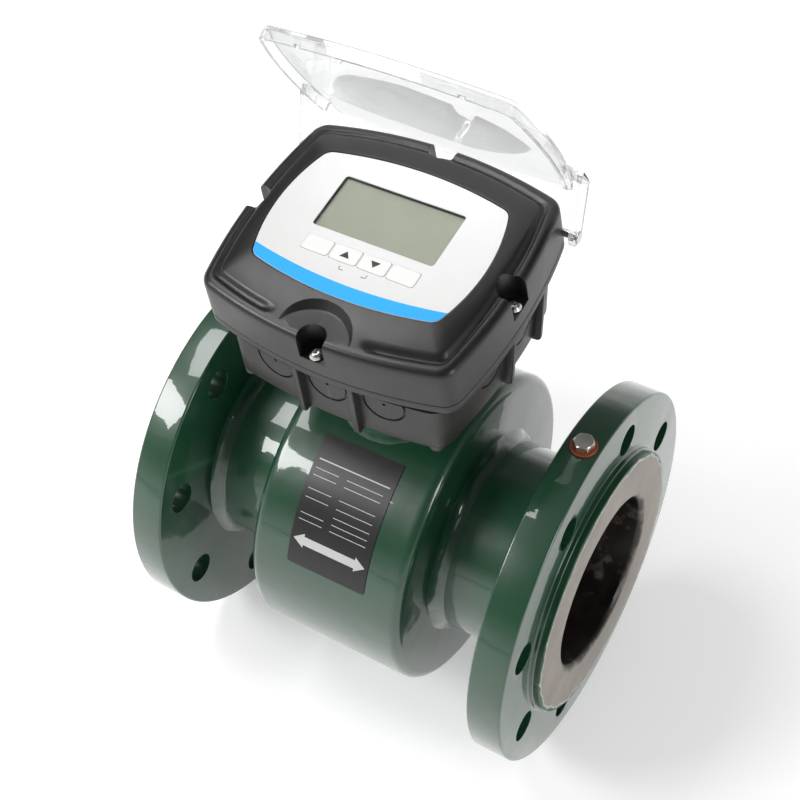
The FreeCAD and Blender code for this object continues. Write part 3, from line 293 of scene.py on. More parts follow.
def make_black_plastic(name, slot, shade, roughness):
    material, tree, shader = new_finish(name, slot)
    patches = effect(tree, "smudges", Scale=30.0)
    dark = tuple(0.86 * v for v in shade)
    colour = blend_colours(tree, remap(tree, patches, 0.35, 0.7, 0, 1), dark, shade)
    # Convex edges are painted a lighter tone: a painted highlight.
    edges = effect(tree, "painted_edge_highlight", Low=0.54, High=0.68)
    wear_and_highlight_tone = tuple(2.1 * v for v in shade)
    tree.links.new(blend_colours(tree, edges, colour, wear_and_highlight_tone), shader.inputs["Base Color"])
    handled = remap(tree, patches, 0.3, 0.75, roughness - 0.05, roughness + 0.06)
    tree.links.new(handled, shader.inputs["Roughness"])
    shader.inputs["Specular IOR Level"].default_value = 0.55
    grain = bump(tree, shader, effect(tree, "grain", Scale=1500.0), 0.00006, 0.7)
    soft = add_node(tree, "ShaderNodeBevel", samples=4, Radius=0.0006)
    tree.links.new(soft.outputs[0], grain.inputs["Normal"])
    return material


COVER_BLACK = make_black_plastic("cover_black_plastic", "cover_black", (0.0095, 0.0086, 0.0080), 0.34)
HOUSING_BLACK = make_black_plastic("housing_black_plastic", "housing_black", (0.024, 0.0222, 0.0212), 0.42)
print("made", COVER_BLACK.name, HOUSING_BLACK.name)

# %% [markdown]
# ## Plain finishes
# Most small pieces have one colour with a little variation, a roughness that varies slightly, and a fine
# texture. One function makes them, so that each finish is a line that says what it is.

# %% Plain finishes


def make_plain(name, slot, colour, roughness, metal=0.0, grain=900.0, depth=0.00004, vary=0.12, coat=0.0):
    material, tree, shader = new_finish(name, slot)
    patches = remap(tree, effect(tree, "smudges", Scale=45.0), 0.3, 0.7, 0, 1)
    darker = tuple((1 - vary) * v for v in colour)
    tree.links.new(blend_colours(tree, patches, darker, colour), shader.inputs["Base Color"])
    tree.links.new(remap(tree, patches, 0, 1, roughness * 0.9, roughness * 1.1), shader.inputs["Roughness"])
    shader.inputs["Metallic"].default_value = metal
    shader.inputs["Coat Weight"].default_value = coat
    bump(tree, shader, effect(tree, "grain", Scale=grain), depth, 0.6)
    return material


STEEL = make_plain("stainless_steel", "stainless", (0.72, 0.71, 0.69), 0.22, metal=1.0, grain=700.0)
ZINC = make_plain("zinc_plating", "zinc_bolt", (0.70, 0.69, 0.64), 0.33,
                  metal=1.0, grain=420.0, depth=0.00012, vary=0.3)
WASHER = make_plain("copper_washer", "washer_copper", (0.46, 0.115, 0.05), 0.42,
                    metal=0.55, grain=500.0, vary=0.45)
FOIL = make_plain("panel_foil", "panel_foil", (0.72, 0.72, 0.715), 0.38,
                  grain=2200.0, depth=0.00001, vary=0.03, coat=0.15)
BLUE = make_plain("blue_print", "panel_foil", (0.0, 0.40, 0.95), 0.45, grain=2200.0, depth=0.00001, vary=0.03)
INK = make_plain("dark_print", "panel_foil", (0.022, 0.022, 0.024), 0.5,
                 grain=2000.0, depth=0.00001, vary=0.1)
KEY_WHITE = make_plain("key_white", "key_white", (0.80, 0.80, 0.79), 0.42,
                       grain=2200.0, depth=0.00001, vary=0.03)
PLATE = make_plain("plate_black", "plate_black", (0.016, 0.016, 0.017), 0.36,
                   grain=1200.0, depth=0.00002, vary=0.15)
PRINT_WHITE = make_plain("plate_white_print", "plate_black", (0.66, 0.66, 0.65), 0.42, grain=1200.0, vary=0.1)
SEAL = make_plain("seal_rubber", "seal_rubber", (0.008, 0.008, 0.008), 0.75, vary=0.2)
LCD_FRAME = make_plain("display_surround", "display_grey", (0.05, 0.052, 0.048), 0.5)
print("plain finishes made")

# %% [markdown]
# ## Hard rubber liner
# The liner is dark brown hard rubber. Its flared face is worn to a mottled warm grey, and where the
# green paint of the raised face ends the edge wanders, with a pale smear of primer beside it. The three
# zones depend on the distance from the bore's axis, which is read from the object coordinates.

# %% Liner finish


def make_liner_finish(bore_r, flare_r):
    material, tree, shader = new_finish("hard_rubber", "hard_rubber")
    place = add_node(tree, "ShaderNodeTexCoord")
    apart = add_node(tree, "ShaderNodeSeparateXYZ")
    tree.links.new(place.outputs["Object"], apart.inputs[0])
    flat = add_node(tree, "ShaderNodeCombineXYZ")
    tree.links.new(apart.outputs[1], flat.inputs[1])
    tree.links.new(apart.outputs[2], flat.inputs[2])
    length = add_node(tree, "ShaderNodeVectorMath", operation="LENGTH")
    tree.links.new(flat.outputs[0], length.inputs[0])
    wander = remap(tree, effect(tree, "smudges", Scale=70.0), 0.3, 0.7, -1.6 * MM, 1.6 * MM)
    radius = add_node(tree, "ShaderNodeMath", operation="ADD")
    tree.links.new(length.outputs["Value"], radius.inputs[0])
    tree.links.new(wander, radius.inputs[1])
    mottle = remap(tree, effect(tree, "smudges", Scale=38.0), 0.32, 0.68, 0, 1)
    wear_and_highlight_tone = blend_colours(tree, mottle, (0.215, 0.180, 0.150), (0.40, 0.355, 0.31))
    dark = blend_colours(tree, mottle, (0.006, 0.0045, 0.004), (0.020, 0.014, 0.011))

    def beyond(start, end):
        """Mask that is 0 inside one radius and 1 outside the other, in millimetres."""
        return remap(tree, radius.outputs[0], start * MM, end * MM, 0, 1)

    face = blend_colours(tree, beyond(bore_r + 0.4, bore_r + 3.4), dark, wear_and_highlight_tone)
    primer = blend_colours(tree, beyond(flare_r - 3.4, flare_r - 2.6), face, (0.50, 0.52, 0.47))
    green = blend_colours(tree, beyond(flare_r - 1.9, flare_r - 1.4), primer, (0.014, 0.075, 0.034))
    tree.links.new(green, shader.inputs["Base Color"])
    tree.links.new(remap(tree, mottle, 0, 1, 0.30, 0.5), shader.inputs["Roughness"])
    bump(tree, shader, effect(tree, "smudges", Scale=120.0), 0.0005, 0.5)
    return material


liner_high = node_box("liner")[1]
flare_low, flare_high = node_box("liner_face_outlet")
BORE_R = 50.0
FLARE_R = flare_high.z
LINER = make_liner_finish(BORE_R, FLARE_R)
print(f"bore radius {BORE_R}, flare radius {FLARE_R:.1f} mm")

# %% [markdown]
# ## Display glass and clear cover
# The liquid crystal display is a flat grey-green reflective glass whose tone varies a little in patches. The
# clear cover is one moulding of clear plastic. It is a plain refracting shader, thinned a little with
# Alpha so that its edges stay pale. Light Path in Alpha makes its shadow lighter still, because real
# clear plastic throws almost no shadow and a path tracer would make one.

# %% Display and clear plastic


def make_display():
    material, tree, shader = new_finish("display_glass", "display_grey")
    patches = remap(tree, effect(tree, "smudges", Scale=12.0), 0.3, 0.7, 0, 1)
    tree.links.new(blend_colours(tree, patches, (0.205, 0.228, 0.158), (0.245, 0.268, 0.192)),
                   shader.inputs["Base Color"])
    shader.inputs["Roughness"].default_value = 0.30
    shader.inputs["Coat Weight"].default_value = 0.5
    shader.inputs["Coat Roughness"].default_value = 0.08
    bump(tree, shader, effect(tree, "grain", Scale=2600.0), 0.00001, 0.3)
    return material


def make_clear(name, slot, tint, roughness, shadow):
    material, tree, shader = new_finish(name, slot)
    shader.inputs["Base Color"].default_value = (*tint, 1.0)
    shader.inputs["IOR"].default_value = 1.45
    shader.inputs["Transmission Weight"].default_value = 1.0
    tree.links.new(remap(tree, effect(tree, "smudges", Scale=30.0), 0.4, 0.75, roughness, roughness + 0.03),
                   shader.inputs["Roughness"])
    path = add_node(tree, "ShaderNodeLightPath")
    clear = remap(tree, path.outputs["Is Shadow Ray"], 0, 1, 0.82, shadow)
    tree.links.new(clear, shader.inputs["Alpha"])
    bump(tree, shader, effect(tree, "skin", Scale=30.0), 0.0004, 0.25)
    return material


DISPLAY = make_display()
CLEAR = make_clear("clear_moulding", "cover_clear", (0.965, 0.975, 0.98), 0.0, 0.12)
print("made", DISPLAY.name, CLEAR.name)

# %% [markdown]
# ## Helpers for shapes
# Round pieces are turned: a closed profile with a radius at each corner is swept about the pipe's axis.
# The display unit's pieces are lofted through rings of one family of outline, four bowed sides with four
# round corners, so that ring points always match. Holes and pockets are cut with booleans that are
# applied at once, and the cutters are thrown away.

# %% Mesh helpers


def make_piece(name, points, faces, finish, place=on_world):
    """A closed mesh from points in millimetres."""
    mesh = bpy.data.meshes.new(name)
    mesh.from_pydata([place(*p) * MM for p in points], [], faces)
    builder = bmesh.new()
    builder.from_mesh(mesh)
    bmesh.ops.remove_doubles(builder, verts=builder.verts, dist=1e-7)
    bmesh.ops.recalc_face_normals(builder, faces=builder.faces)
    builder.to_mesh(mesh)
    builder.free()
    piece = bpy.data.objects.new(name, mesh)
    scene.collection.objects.link(piece)
    if finish:
        mesh.materials.append(finish)
    return piece


def shade(piece, angle=30.0):
    """Smooth faces, with a crease where two meet at more than the angle."""
    mesh = piece.data
    mesh.shade_smooth()
    mesh.set_sharp_from_angle(angle=math.radians(angle))
    return piece


def seat(piece, body, *nodes):
    """Let the piece ride on its body in place of frame parts, which it hides."""
    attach(piece, body)
    if nodes:
        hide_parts(*nodes)
    return piece


def carve(piece, cutters, operation="DIFFERENCE"):
    """Cut or join other meshes, apply the result and drop them."""
    for cutter in cutters:
        step = piece.modifiers.new("cut", "BOOLEAN")
        step.operation = operation
        step.solver = "EXACT"
        step.object = cutter
    bpy.context.view_layer.update()
    graph = bpy.context.evaluated_depsgraph_get()
    made = bpy.data.meshes.new_from_object(piece.evaluated_get(graph))
    old = piece.data
    piece.modifiers.clear()
    piece.data = made
    bpy.data.meshes.remove(old)
    for cutter in cutters:
        bpy.data.objects.remove(cutter)
    return piece


def soften(piece, width, segments=3, angle=35.0):
    """Round the edges that turn by more than the angle."""
    step = piece.modifiers.new("rounded", "BEVEL")
    step.width = width * MM
    step.segments = segments
    step.limit_method = "ANGLE"
    step.angle_limit = math.radians(angle)
    step.harden_normals = True
    return piece


def rounded(corners, steps=6):
    """Profile points from (a, b, radius) corners, with an arc at each corner that has a radius."""
    points = []
    for here, (a, b, radius) in enumerate(corners):
        spot = Vector((a, b))
        if not radius:
            points.append(spot)
            continue
        before = (Vector(corners[here - 1][:2]) - spot).normalized()
        after = (Vector(corners[(here + 1) % len(corners)][:2]) - spot).normalized()
        half = before.angle(after) / 2
        centre = spot + (before + after).normalized() * radius / math.sin(half)
        start = spot + before * radius / math.tan(half) - centre
        finish = spot + after * radius / math.tan(half) - centre
        sweep = start.angle_signed(finish)
        for step in range(steps + 1):
            turn = Matrix.Rotation(-sweep * step / steps, 2)
            points.append(centre + turn @ start)
    return [(p[0], p[1]) for p in points]


def turned(name, corners, finish, segments=160, place=on_world, axis="X", wobble=None):
    """Sweep a closed profile of (along, radius, corner radius) about an axis."""
    profile = rounded(corners)
    points, count = [], len(profile)
    for turn in range(segments):
        angle = 2 * math.pi * turn / segments
        for along, radius in profile:
            if wobble:
                along, radius = wobble(along, radius, angle)
            across, up = radius * math.cos(angle), radius * math.sin(angle)
            points.append((along, across, up) if axis == "X" else (across, up, along))
    faces = []
    for turn in range(segments):
        following = (turn + 1) % segments
        for k in range(count):
            m = (k + 1) % count
            faces.append((turn * count + k, turn * count + m, following * count + m, following * count + k))
    return shade(make_piece(name, points, faces, finish, place))


def lofted(name, rings, finish, place, hollow=False):
    """Skin over matching rings of points; the ends are closed, or joined to each other when hollow."""
    size = len(rings[0])
    points = [point for ring in rings for point in ring]
    faces = []
    last = len(rings) if hollow else len(rings) - 1
    for r in range(last):
        base, upper = r * size, (r + 1) % len(rings) * size
        for k in range(size):
            m = (k + 1) % size
            faces.append((base + k, base + m, upper + m, upper + k))
    if not hollow:
        faces.append(tuple(range(size)))
        faces.append(tuple(range((len(rings) - 1) * size, len(rings) * size)))
    return shade(make_piece(name, points, faces, finish, place))


def prism(name, outline, low, high, finish, place):
    """Straight block over an outline of (x, y) points."""
    return lofted(name, [[(x, y, level) for x, y in outline] for level in (low, high)], finish, place)


def arc_points(cx, cy, radius, start, stop, count):
    angles = [math.radians(start + (stop - start) * k / count) for k in range(count + 1)]
    return [(cx + radius * math.cos(a), cy + radius * math.sin(a)) for a in angles]


def rounded_rectangle(x_low, y_low, x_high, y_high, radius, count=6):
    points = []
    for cx, cy, start in ((x_high - radius, y_high - radius, 0), (x_low + radius, y_high - radius, 90),
                          (x_low + radius, y_low + radius, 180), (x_high - radius, y_low + radius, 270)):
        points += arc_points(cx, cy, radius, start, start + 90, count)
    return points


print("mesh helpers ready")

# %% [markdown]
# ## Flow tube and coil housing
# The tube is a plain DN100 pipe. The coil housing is a drum pressed round at its shoulders and welded to
# the tube, and it is one turned piece here because paint hides its joints. A turned profile with round
# corners catches the long soft highlights that painted drums show.

# %% Flow tube and coil housing
tube_low, tube_high = node_box("measuring_tube")
TUBE_R, TUBE_IN = tube_high.z, liner_high.z
cap_high = node_box("housing_cap_outlet")[1]
DRUM_END, DRUM_R = cap_high.x, cap_high.z
SHOULDER = 5.5
tube_profile = [(tube_low.x, TUBE_IN, 0), (tube_high.x, TUBE_IN, 0), (tube_high.x, TUBE_R, 0),
                (tube_low.x, TUBE_R, 0)]
flow_tube = turned("flow_tube", tube_profile, ENAMEL)
seat(flow_tube, "meter", "measuring_tube")


def drum_waver(along, radius, angle):
    """Rolled plate is never quite true: a tenth of a millimetre of slow waviness."""
    lift = noise.noise(Vector((along * 0.02, 1.4 * math.cos(angle), 1.4 * math.sin(angle))))
    return along, radius + (0.22 * lift - 0.1 if radius > 80 else 0)


STATIONS = 12
drum_profile = [(-DRUM_END, TUBE_R, 0), (DRUM_END, TUBE_R, 0), (DRUM_END, DRUM_R, SHOULDER)]
for k in range(STATIONS + 1):
    drum_profile.append(((DRUM_END - SHOULDER) * (0.96 - 1.92 * k / STATIONS), DRUM_R, 0))
drum_profile.append((-DRUM_END, DRUM_R, SHOULDER))
coil_housing = turned("coil_housing", drum_profile, ENAMEL, segments=220, wobble=drum_waver)
seat(coil_housing, "meter", "housing_shell", "housing_cap_outlet", "housing_cap_inlet")
print(f"tube radius {TUBE_R:.2f}, drum radius {DRUM_R:.1f}, drum half width {DRUM_END:.1f} mm")

# %% [markdown]
# ## Flanges
# Each flange is a turned plate with a raised face. Eight bolt holes straddle its centre lines. They are
# cut with a boolean, and a bevel then breaks every sharp edge, so that the rounded enamel there catches
# a thin bright line of light. The enamel finish also paints a lighter highlight colour on these edges.

# %% Flanges
HOLE_R, HOLE_CIRCLE, HOLES = 9.0, 90.0, 8


def rod(name, low, high, centre, radius, count=48):
    """A round bar along the pipe's axis."""
    ring = arc_points(centre[0], centre[1], radius, 0, 360 - 360 / count, count - 1)
    return prism(name, ring, low, high, None, lambda a, b, x: Vector((x, a, b)))


def make_flange(name, node, side):
    low, high = node_box(node)
    near, far = sorted((abs(low.x), abs(high.x)))
    face = far - 3.0
    corners = [(near, TUBE_R, 0), (far, TUBE_R, 0), (far, 79.0, 0.7), (face, 79.0, 1.0), (face, high.z, 1.3),
               (near, high.z, 1.3)]
    plate = turned(name, [(side * a, r, c) for a, r, c in corners], ENAMEL, segments=200)
    holes = []
    for k in range(HOLES):
        angle = math.radians((k + 0.5) * 360 / HOLES)
        spot = (HOLE_CIRCLE * math.cos(angle), HOLE_CIRCLE * math.sin(angle))
        ends = sorted((side * (near - 2), side * (far + 2)))
        holes.append(rod("hole", *ends, spot, HOLE_R))
    carve(plate, holes)
    shade(plate)
    soften(plate, 0.8, 3, 50)
    return seat(plate, "meter", node)


outlet_flange = make_flange("flange_outlet", "outlet_flange", 1)
inlet_flange = make_flange("flange_inlet", "inlet_flange", -1)
print("flange faces", len(outlet_flange.data.polygons), len(inlet_flange.data.polygons))

# %% [markdown]
# ## Welds
# A fillet weld runs round the tube at both flanges and at both ends of the drum. The welder's hand shows
# as a slow change in size with a finer ripple on it, under thick paint. Each bead is a turned concave
# profile whose surface is moved by smooth noise, and the pedestal gets one that follows its saddle.

# %% Weld beads


def bead_waver(seed):
    def move(along, radius, angle):
        slow = noise.noise(Vector((3.0 * math.cos(angle), 3.0 * math.sin(angle), seed)))
        fine = noise.noise(Vector((13.0 * math.cos(angle), 13.0 * math.sin(angle), seed + along * 0.12)))
        lift = max(0.0, radius - TUBE_R)
        return along, radius + (0.30 * slow + 0.07 * fine) * min(lift, 4.0)
    return move


def make_bead(name, foot, direction, seed):
    """A concave fillet from a wall at the foot, running out along the tube."""
    steps = [(0.0, 5.0), (0.7, 4.0), (1.7, 3.0), (2.9, 2.0), (4.3, 1.15), (5.8, 0.5), (7.3, 0.12)]
    profile = [(foot + direction * a, TUBE_R + h, 0) for a, h in steps]
    profile += [(foot + direction * 7.3, TUBE_R - 0.8, 0), (foot, TUBE_R - 0.8, 0)]
    return turned(name, profile, ENAMEL, segments=300, wobble=bead_waver(seed))


flange_back = node_box("outlet_flange")[0].x
beads = []
for end_name, side in (("outlet", 1), ("inlet", -1)):
    beads.append(make_bead("weld_flange_" + end_name, side * flange_back, -side, 3.0 + side))
    beads.append(make_bead("weld_housing_" + end_name, side * DRUM_END, side, 8.0 + side))
seat(beads[0], "meter", "weld_beads")
for bead in beads[1:]:
    seat(bead, "meter")
print("beads at", [round(b.data.vertices[0].co.x / MM, 1) for b in beads])

# %% [markdown]
# ## Liner
# The hard rubber liner runs through the bore and is folded out over both raised faces, with a rounded
# mouth. It is one turned piece with one finish that knows its zones by radius.

# %% Liner
FACE_X = flare_high.x
FOLD_X = flare_low.x


def liner_waver(along, radius, angle):
    soft = noise.noise(Vector((2.5 * math.cos(angle), 2.5 * math.sin(angle), along)))
    return along, radius + (0.5 * soft - 0.3 if radius > 60 else 0.25 * soft)


liner_profile = [(-FACE_X, BORE_R, 3.4), (FACE_X, BORE_R, 3.4), (FACE_X, FLARE_R, 0.9), (FOLD_X, FLARE_R, 0),
                 (FOLD_X, TUBE_IN, 0), (-FOLD_X, TUBE_IN, 0), (-FOLD_X, FLARE_R, 0), (-FACE_X, FLARE_R, 0.9)]
liner = turned("liner_rubber", liner_profile, LINER, segments=200, wobble=liner_waver)
seat(liner, "meter", "liner", "liner_face_outlet", "liner_face_inlet")
print(f"liner from {-FACE_X:.1f} to {FACE_X:.1f} mm")

# %% [markdown]
# ## Data plate
# A thin black plate is wrapped on the drum's front shoulder. Its print is kept to what any such plate
# has, blank rules to write on and a plain double arrow along the pipe. Sheet and print are drawn flat,
# sliced along the wrap so that they can bend, given a thickness and laid on the drum.

# %% Data plate


def on_drum(x, wrap, lift):
    """A point on the coil housing: `wrap` millimetres up from its front, `lift` off its surface."""
    angle = wrap / DRUM_R
    return Vector((x, -(DRUM_R + lift) * math.cos(angle), (DRUM_R + lift) * math.sin(angle)))


def laid_sheet(name, outline, low, high, finish, place, step=1.5):
    """A thin sheet over a flat outline, sliced so that it can follow a curved place."""
    builder = bmesh.new()
    builder.faces.new([builder.verts.new((x, y, low)) for x, y in outline])
    first, last = min(y for _, y in outline), max(y for _, y in outline)
    for k in range(1, max(1, int((last - first) / step)) + 1):
        level = first + (last - first) * k / (int((last - first) / step) + 1)
        everything = builder.verts[:] + builder.edges[:] + builder.faces[:]
        bmesh.ops.bisect_plane(builder, geom=everything, plane_co=(0, level, 0), plane_no=(0, 1, 0))
    raised = bmesh.ops.extrude_face_region(builder, geom=builder.faces[:])
    for item in raised["geom"]:
        if isinstance(item, bmesh.types.BMVert):
            item.co.z = high
    bmesh.ops.recalc_face_normals(builder, faces=builder.faces)
    for vert in builder.verts:
        vert.co = place(*vert.co) * MM
    mesh = bpy.data.meshes.new(name)
    builder.to_mesh(mesh)
    builder.free()
    mesh.materials.append(finish)
    sheet = bpy.data.objects.new(name, mesh)
    scene.collection.objects.link(sheet)
    return shade(sheet)


plate_low, plate_high = node_box("type_plate")
wrap_low, wrap_high = (DRUM_R * math.radians(a) for a in (20.0, 66.5))
PLATE_LIFT = 0.4
plate_shape = rounded_rectangle(plate_low.x, wrap_low, plate_high.x, wrap_high, 1.2)
data_plate = laid_sheet("data_plate", plate_shape, 0.0, PLATE_LIFT, PLATE, on_drum)
seat(data_plate, "meter", "type_plate")
PRINT = (PLATE_LIFT, PLATE_LIFT + 0.05)
plate_mid = (plate_low.x + plate_high.x) / 2
arrow_y, head, shaft, reach = wrap_low + 16.0, 4.3, 2.5, 22.6
head_back = reach - 6.5
arrow = [(reach, 0), (head_back, head), (head_back, shaft), (-head_back, shaft), (-head_back, head),
         (-reach, 0), (-head_back, -head), (-head_back, -shaft), (head_back, -shaft), (head_back, -head)]
arrow_shape = [(plate_mid + x, arrow_y + y) for x, y in arrow]
flow_arrow = laid_sheet("data_plate_arrow", arrow_shape, *PRINT, PRINT_WHITE, on_drum)
seat(flow_arrow, "meter")
RULES = [(wrap_high - 14.5, -22.0, 22.0, 0.7)]
RULES += [(wrap_high - y, -22.0, -7.5, 0.35) for y in (19.5, 23.5, 31.0, 36.0, 45.0, 48.8)]
RULES += [(wrap_high - y, -2.5, 20.0, 0.35) for y in (19.5, 23.5, 31.0, 36.0, 41.0, 45.0, 48.8)]
for number, (y, left, right, thick) in enumerate(RULES):
    start, stop = plate_mid + left, plate_mid + right
    line = [(start, y), (stop, y), (stop, y + thick), (start, y + thick)]
    seat(laid_sheet(f"data_plate_rule_{number:02d}", line, *PRINT, PRINT_WHITE, on_drum), "meter")
print(f"plate {plate_high.x - plate_low.x:.1f} by {wrap_high - wrap_low:.1f} mm, {len(RULES)} rules")

# %% [markdown]
# ## Earth bolt
# A hexagon bolt with a copper washer stands on the rim of the outlet flange. A real head is turned
# before its flats are cut, so the head here is a hexagon prism intersected with a turned cone.

# %% Earth bolt and washer
bolt_high = node_box("earth_bolt")[1]
washer_low, washer_high = node_box("earth_washer")
EARTH_X = (washer_low.x + washer_high.x) / 2
HEAD_ACROSS = 10.0


def on_rim(x, y, z):
    return Vector((EARTH_X + x, y, z))


washer_r = (washer_high.x - washer_low.x) / 2
earth_washer = turned("earth_washer_ring", [(washer_low.z, 3.0, 0.3), (washer_low.z, washer_r, 0.5),
                                            (washer_high.z, washer_r, 0.5), (washer_high.z, 3.0, 0.3)],
                      WASHER, 64, on_rim, "Z")
seat(earth_washer, "meter", "earth_washer")
half_corner = HEAD_ACROSS / 2 / math.cos(math.radians(30))
hexagon = arc_points(0, 0, half_corner, 15, 315, 5)
bolt_head = prism("earth_bolt_head", hexagon, washer_high.z, bolt_high.z, ZINC, on_rim)
cone = [(washer_high.z - 1, 0.0, 0), (washer_high.z - 1, half_corner + 1, 0),
        (bolt_high.z - 1.1, half_corner + 0.15, 0), (bolt_high.z, HEAD_ACROSS / 2 - 0.2, 0.2),
        (bolt_high.z, 0.0, 0)]
carve(bolt_head, [turned("cone", cone, None, 64, on_rim, "Z")], "INTERSECT")
shade(bolt_head)
soften(bolt_head, 0.15, 2, 25)
seat(bolt_head, "meter", "earth_bolt")
print(f"bolt head {bolt_high.z - washer_high.z:.1f} mm high at x {EARTH_X:.1f}")

# %% [markdown]
# ## Pedestal
# A short tube is saddled on the drum and carries a round plate for the display unit. Its weld follows the
# curve where the two round bodies meet, which is worked out from their radii.

# %% Pedestal
neck_low, neck_high = node_box("pedestal_neck")
seat_low, seat_high = node_box("pedestal_seat")
NECK_R, NECK_IN, SEAT_R = neck_high.x, 26.0, seat_high.x
neck = turned("pedestal_tube", [(neck_low.z, NECK_IN, 0), (neck_low.z, NECK_R, 0), (neck_high.z, NECK_R, 0),
                                (neck_high.z, NECK_IN, 0)], ENAMEL, 96, on_world, "Z")
seat(neck, "meter", "pedestal_neck")
plate_profile = [(seat_low.z, NECK_IN, 0), (seat_low.z, SEAT_R, 0.8), (seat_high.z, SEAT_R, 0.8),
                 (seat_high.z, NECK_IN, 0)]
plate = turned("pedestal_plate", plate_profile, ENAMEL, 128, on_world, "Z")
seat(plate, "meter", "pedestal_seat")
bead_rings = []
for k in range(180):
    angle = 2 * math.pi * k / 180
    ripple = 0.3 * noise.noise(Vector((6 * math.cos(angle), 6 * math.sin(angle), 2.0)))
    ring = []
    for out, up in ((-1.0, -1.0), (3.0, -1.2), (2.1, 0.4), (1.2, 1.3), (0.4, 2.4), (-1.0, 3.2)):
        r = NECK_R + out + (ripple if out > 0 else 0)
        x, y = r * math.cos(angle), r * math.sin(angle)
        ring.append((x, y, math.sqrt(DRUM_R ** 2 - y ** 2) + up + (ripple if up > 0 else 0)))
    bead_rings.append(ring)
seat(lofted("pedestal_weld", bead_rings, ENAMEL, on_world, hollow=True), "meter")
print(f"pedestal radius {NECK_R:.1f}, plate radius {SEAT_R:.1f} mm")

# %% [markdown]
# ## Outlines of the display unit
# Cover, lower housing, panel and clear cover share one family of outline: two bowed sides, two bowed ends
# and four round corners, all tangent. Equal numbers of points on each arc keep rings of different size in
# step, so they can be skinned together.

# %% The family of outlines


def barrel(half_w, half_d, bulge_w, bulge_d, corner, centre=0.0, counts=(60, 14, 90)):
    """Points of a bowed outline, anticlockwise from the middle of the right side's lower end."""
    corner = max(corner, 1.2)
    side = ((half_d - bulge_d) ** 2 + bulge_w ** 2) / (2 * bulge_w)
    end = ((half_w - bulge_w) ** 2 + bulge_d ** 2) / (2 * bulge_d)
    side_x, end_y = half_w - side, half_d - end
    gap = math.hypot(side_x, end_y)
    along = ((side - corner) ** 2 - (end - corner) ** 2 + gap ** 2) / (2 * gap)
    off = math.sqrt((side - corner) ** 2 - along ** 2)
    unit_x, unit_y = -side_x / gap, end_y / gap
    spot = (side_x + along * unit_x - off * unit_y, along * unit_y + off * unit_x)
    if min(spot) < 0:
        spot = (side_x + along * unit_x + off * unit_y, along * unit_y - off * unit_x)
    low = math.atan2(spot[1], spot[0] - side_x)
    high = math.atan2(spot[1] - end_y, spot[0])
    turn = math.pi
    arcs = [
        (side_x, 0, side, -low, low, counts[0]),
        (spot[0], spot[1], corner, low, high, counts[1]),
        (0, end_y, end, high, turn - high, counts[2]),
        (-spot[0], spot[1], corner, turn - high, turn - low, counts[1]),
        (-side_x, 0, side, turn - low, turn + low, counts[0]),
        (-spot[0], -spot[1], corner, turn + low, turn + high, counts[1]),
        (0, -end_y, end, turn + high, 2 * turn - high, counts[2]),
        (spot[0], -spot[1], corner, 2 * turn - high, 2 * turn - low, counts[1]),
    ]
    points = []
    for x, y, radius, begin, finish, count in arcs:
        for k in range(count):
            angle = begin + (finish - begin) * k / count
            points.append((x + radius * math.cos(angle), y + centre + radius * math.sin(angle)))
    return points


LID = {"half_w": 75.6, "half_d": 67.0, "bulge_w": 6.0, "bulge_d": 10.0, "corner": 10.0}
BASE = {"half_w": 65.0, "half_d": 61.8, "bulge_w": 4.0, "bulge_d": 6.0, "corner": 10.0}


def inset(shape, amount):
    """The outline moved in by the amount, or out where it is negative."""
    smaller = dict(shape)
    for key in ("half_w", "half_d", "corner"):
        smaller[key] -= amount
    return barrel(**smaller)


def smooth_step(value, low, high):
    share = min(1.0, max(0.0, (value - low) / (high - low)))
    return share * share * (3 - 2 * share)


print("outline points:", len(inset(LID, 0)))

# %% [markdown]
# ## Front cover
# This moulding gives the meter its face. A soft rounded lip runs round it, and from the lip a gently
# bowed crown rises to the panel, with a shallow valley pressed into it just inside the lip. At the front
# a finger recess interrupts the valley. The whole surface is one loft of rings from the skirt to the
# panel's seat, with the valley's depth faded out near the recess. The recess and the four screw pockets
# are then cut, so that their walls stay crisp as in the real moulding.

# %% Front cover: surface
LIP, LIP_ROUND, SPLIT, FLARE = -4.0, 3.8, -28.0, 0.8
RECESS_S, RECESS_R, RECESS_SLOPE = -69.7, 21.3, 4.1
VALLEY_OUT, VALLEY_IN, VALLEY_DEPTH = 4.4, 10.6, 1.7
CROWN = 0.45


def near_recess(x, s):
    """1 away from the finger recess and 0 inside it."""
    return smooth_step(math.hypot(x, s - RECESS_S), RECESS_R + RECESS_SLOPE, RECESS_R + RECESS_SLOPE + 9.0)


lid_rings = []
for out, n in ((-FLARE, SPLIT), (-FLARE * 0.6, -20.0), (-FLARE * 0.3, -12.0), (-0.05, LIP - LIP_ROUND - 0.4)):
    lid_rings.append([(x, s, n) for x, s in inset(LID, out)])
for k in range(8):
    angle = math.pi / 2 * k / 7
    level, amount = LIP - LIP_ROUND * (1 - math.sin(angle)), LIP_ROUND * (1 - math.cos(angle))
    lid_rings.append([(x, s, level) for x, s in inset(LID, amount)])
crown_edge = inset(PANEL, -0.9)
foot = inset(LID, VALLEY_OUT)


def crown_level(share):
    """Height of the crown's gentle bow, from the lip at 0 to the panel at 1."""
    return LIP + (CROWN - LIP) * share + 0.75 * math.sin(math.pi * share)


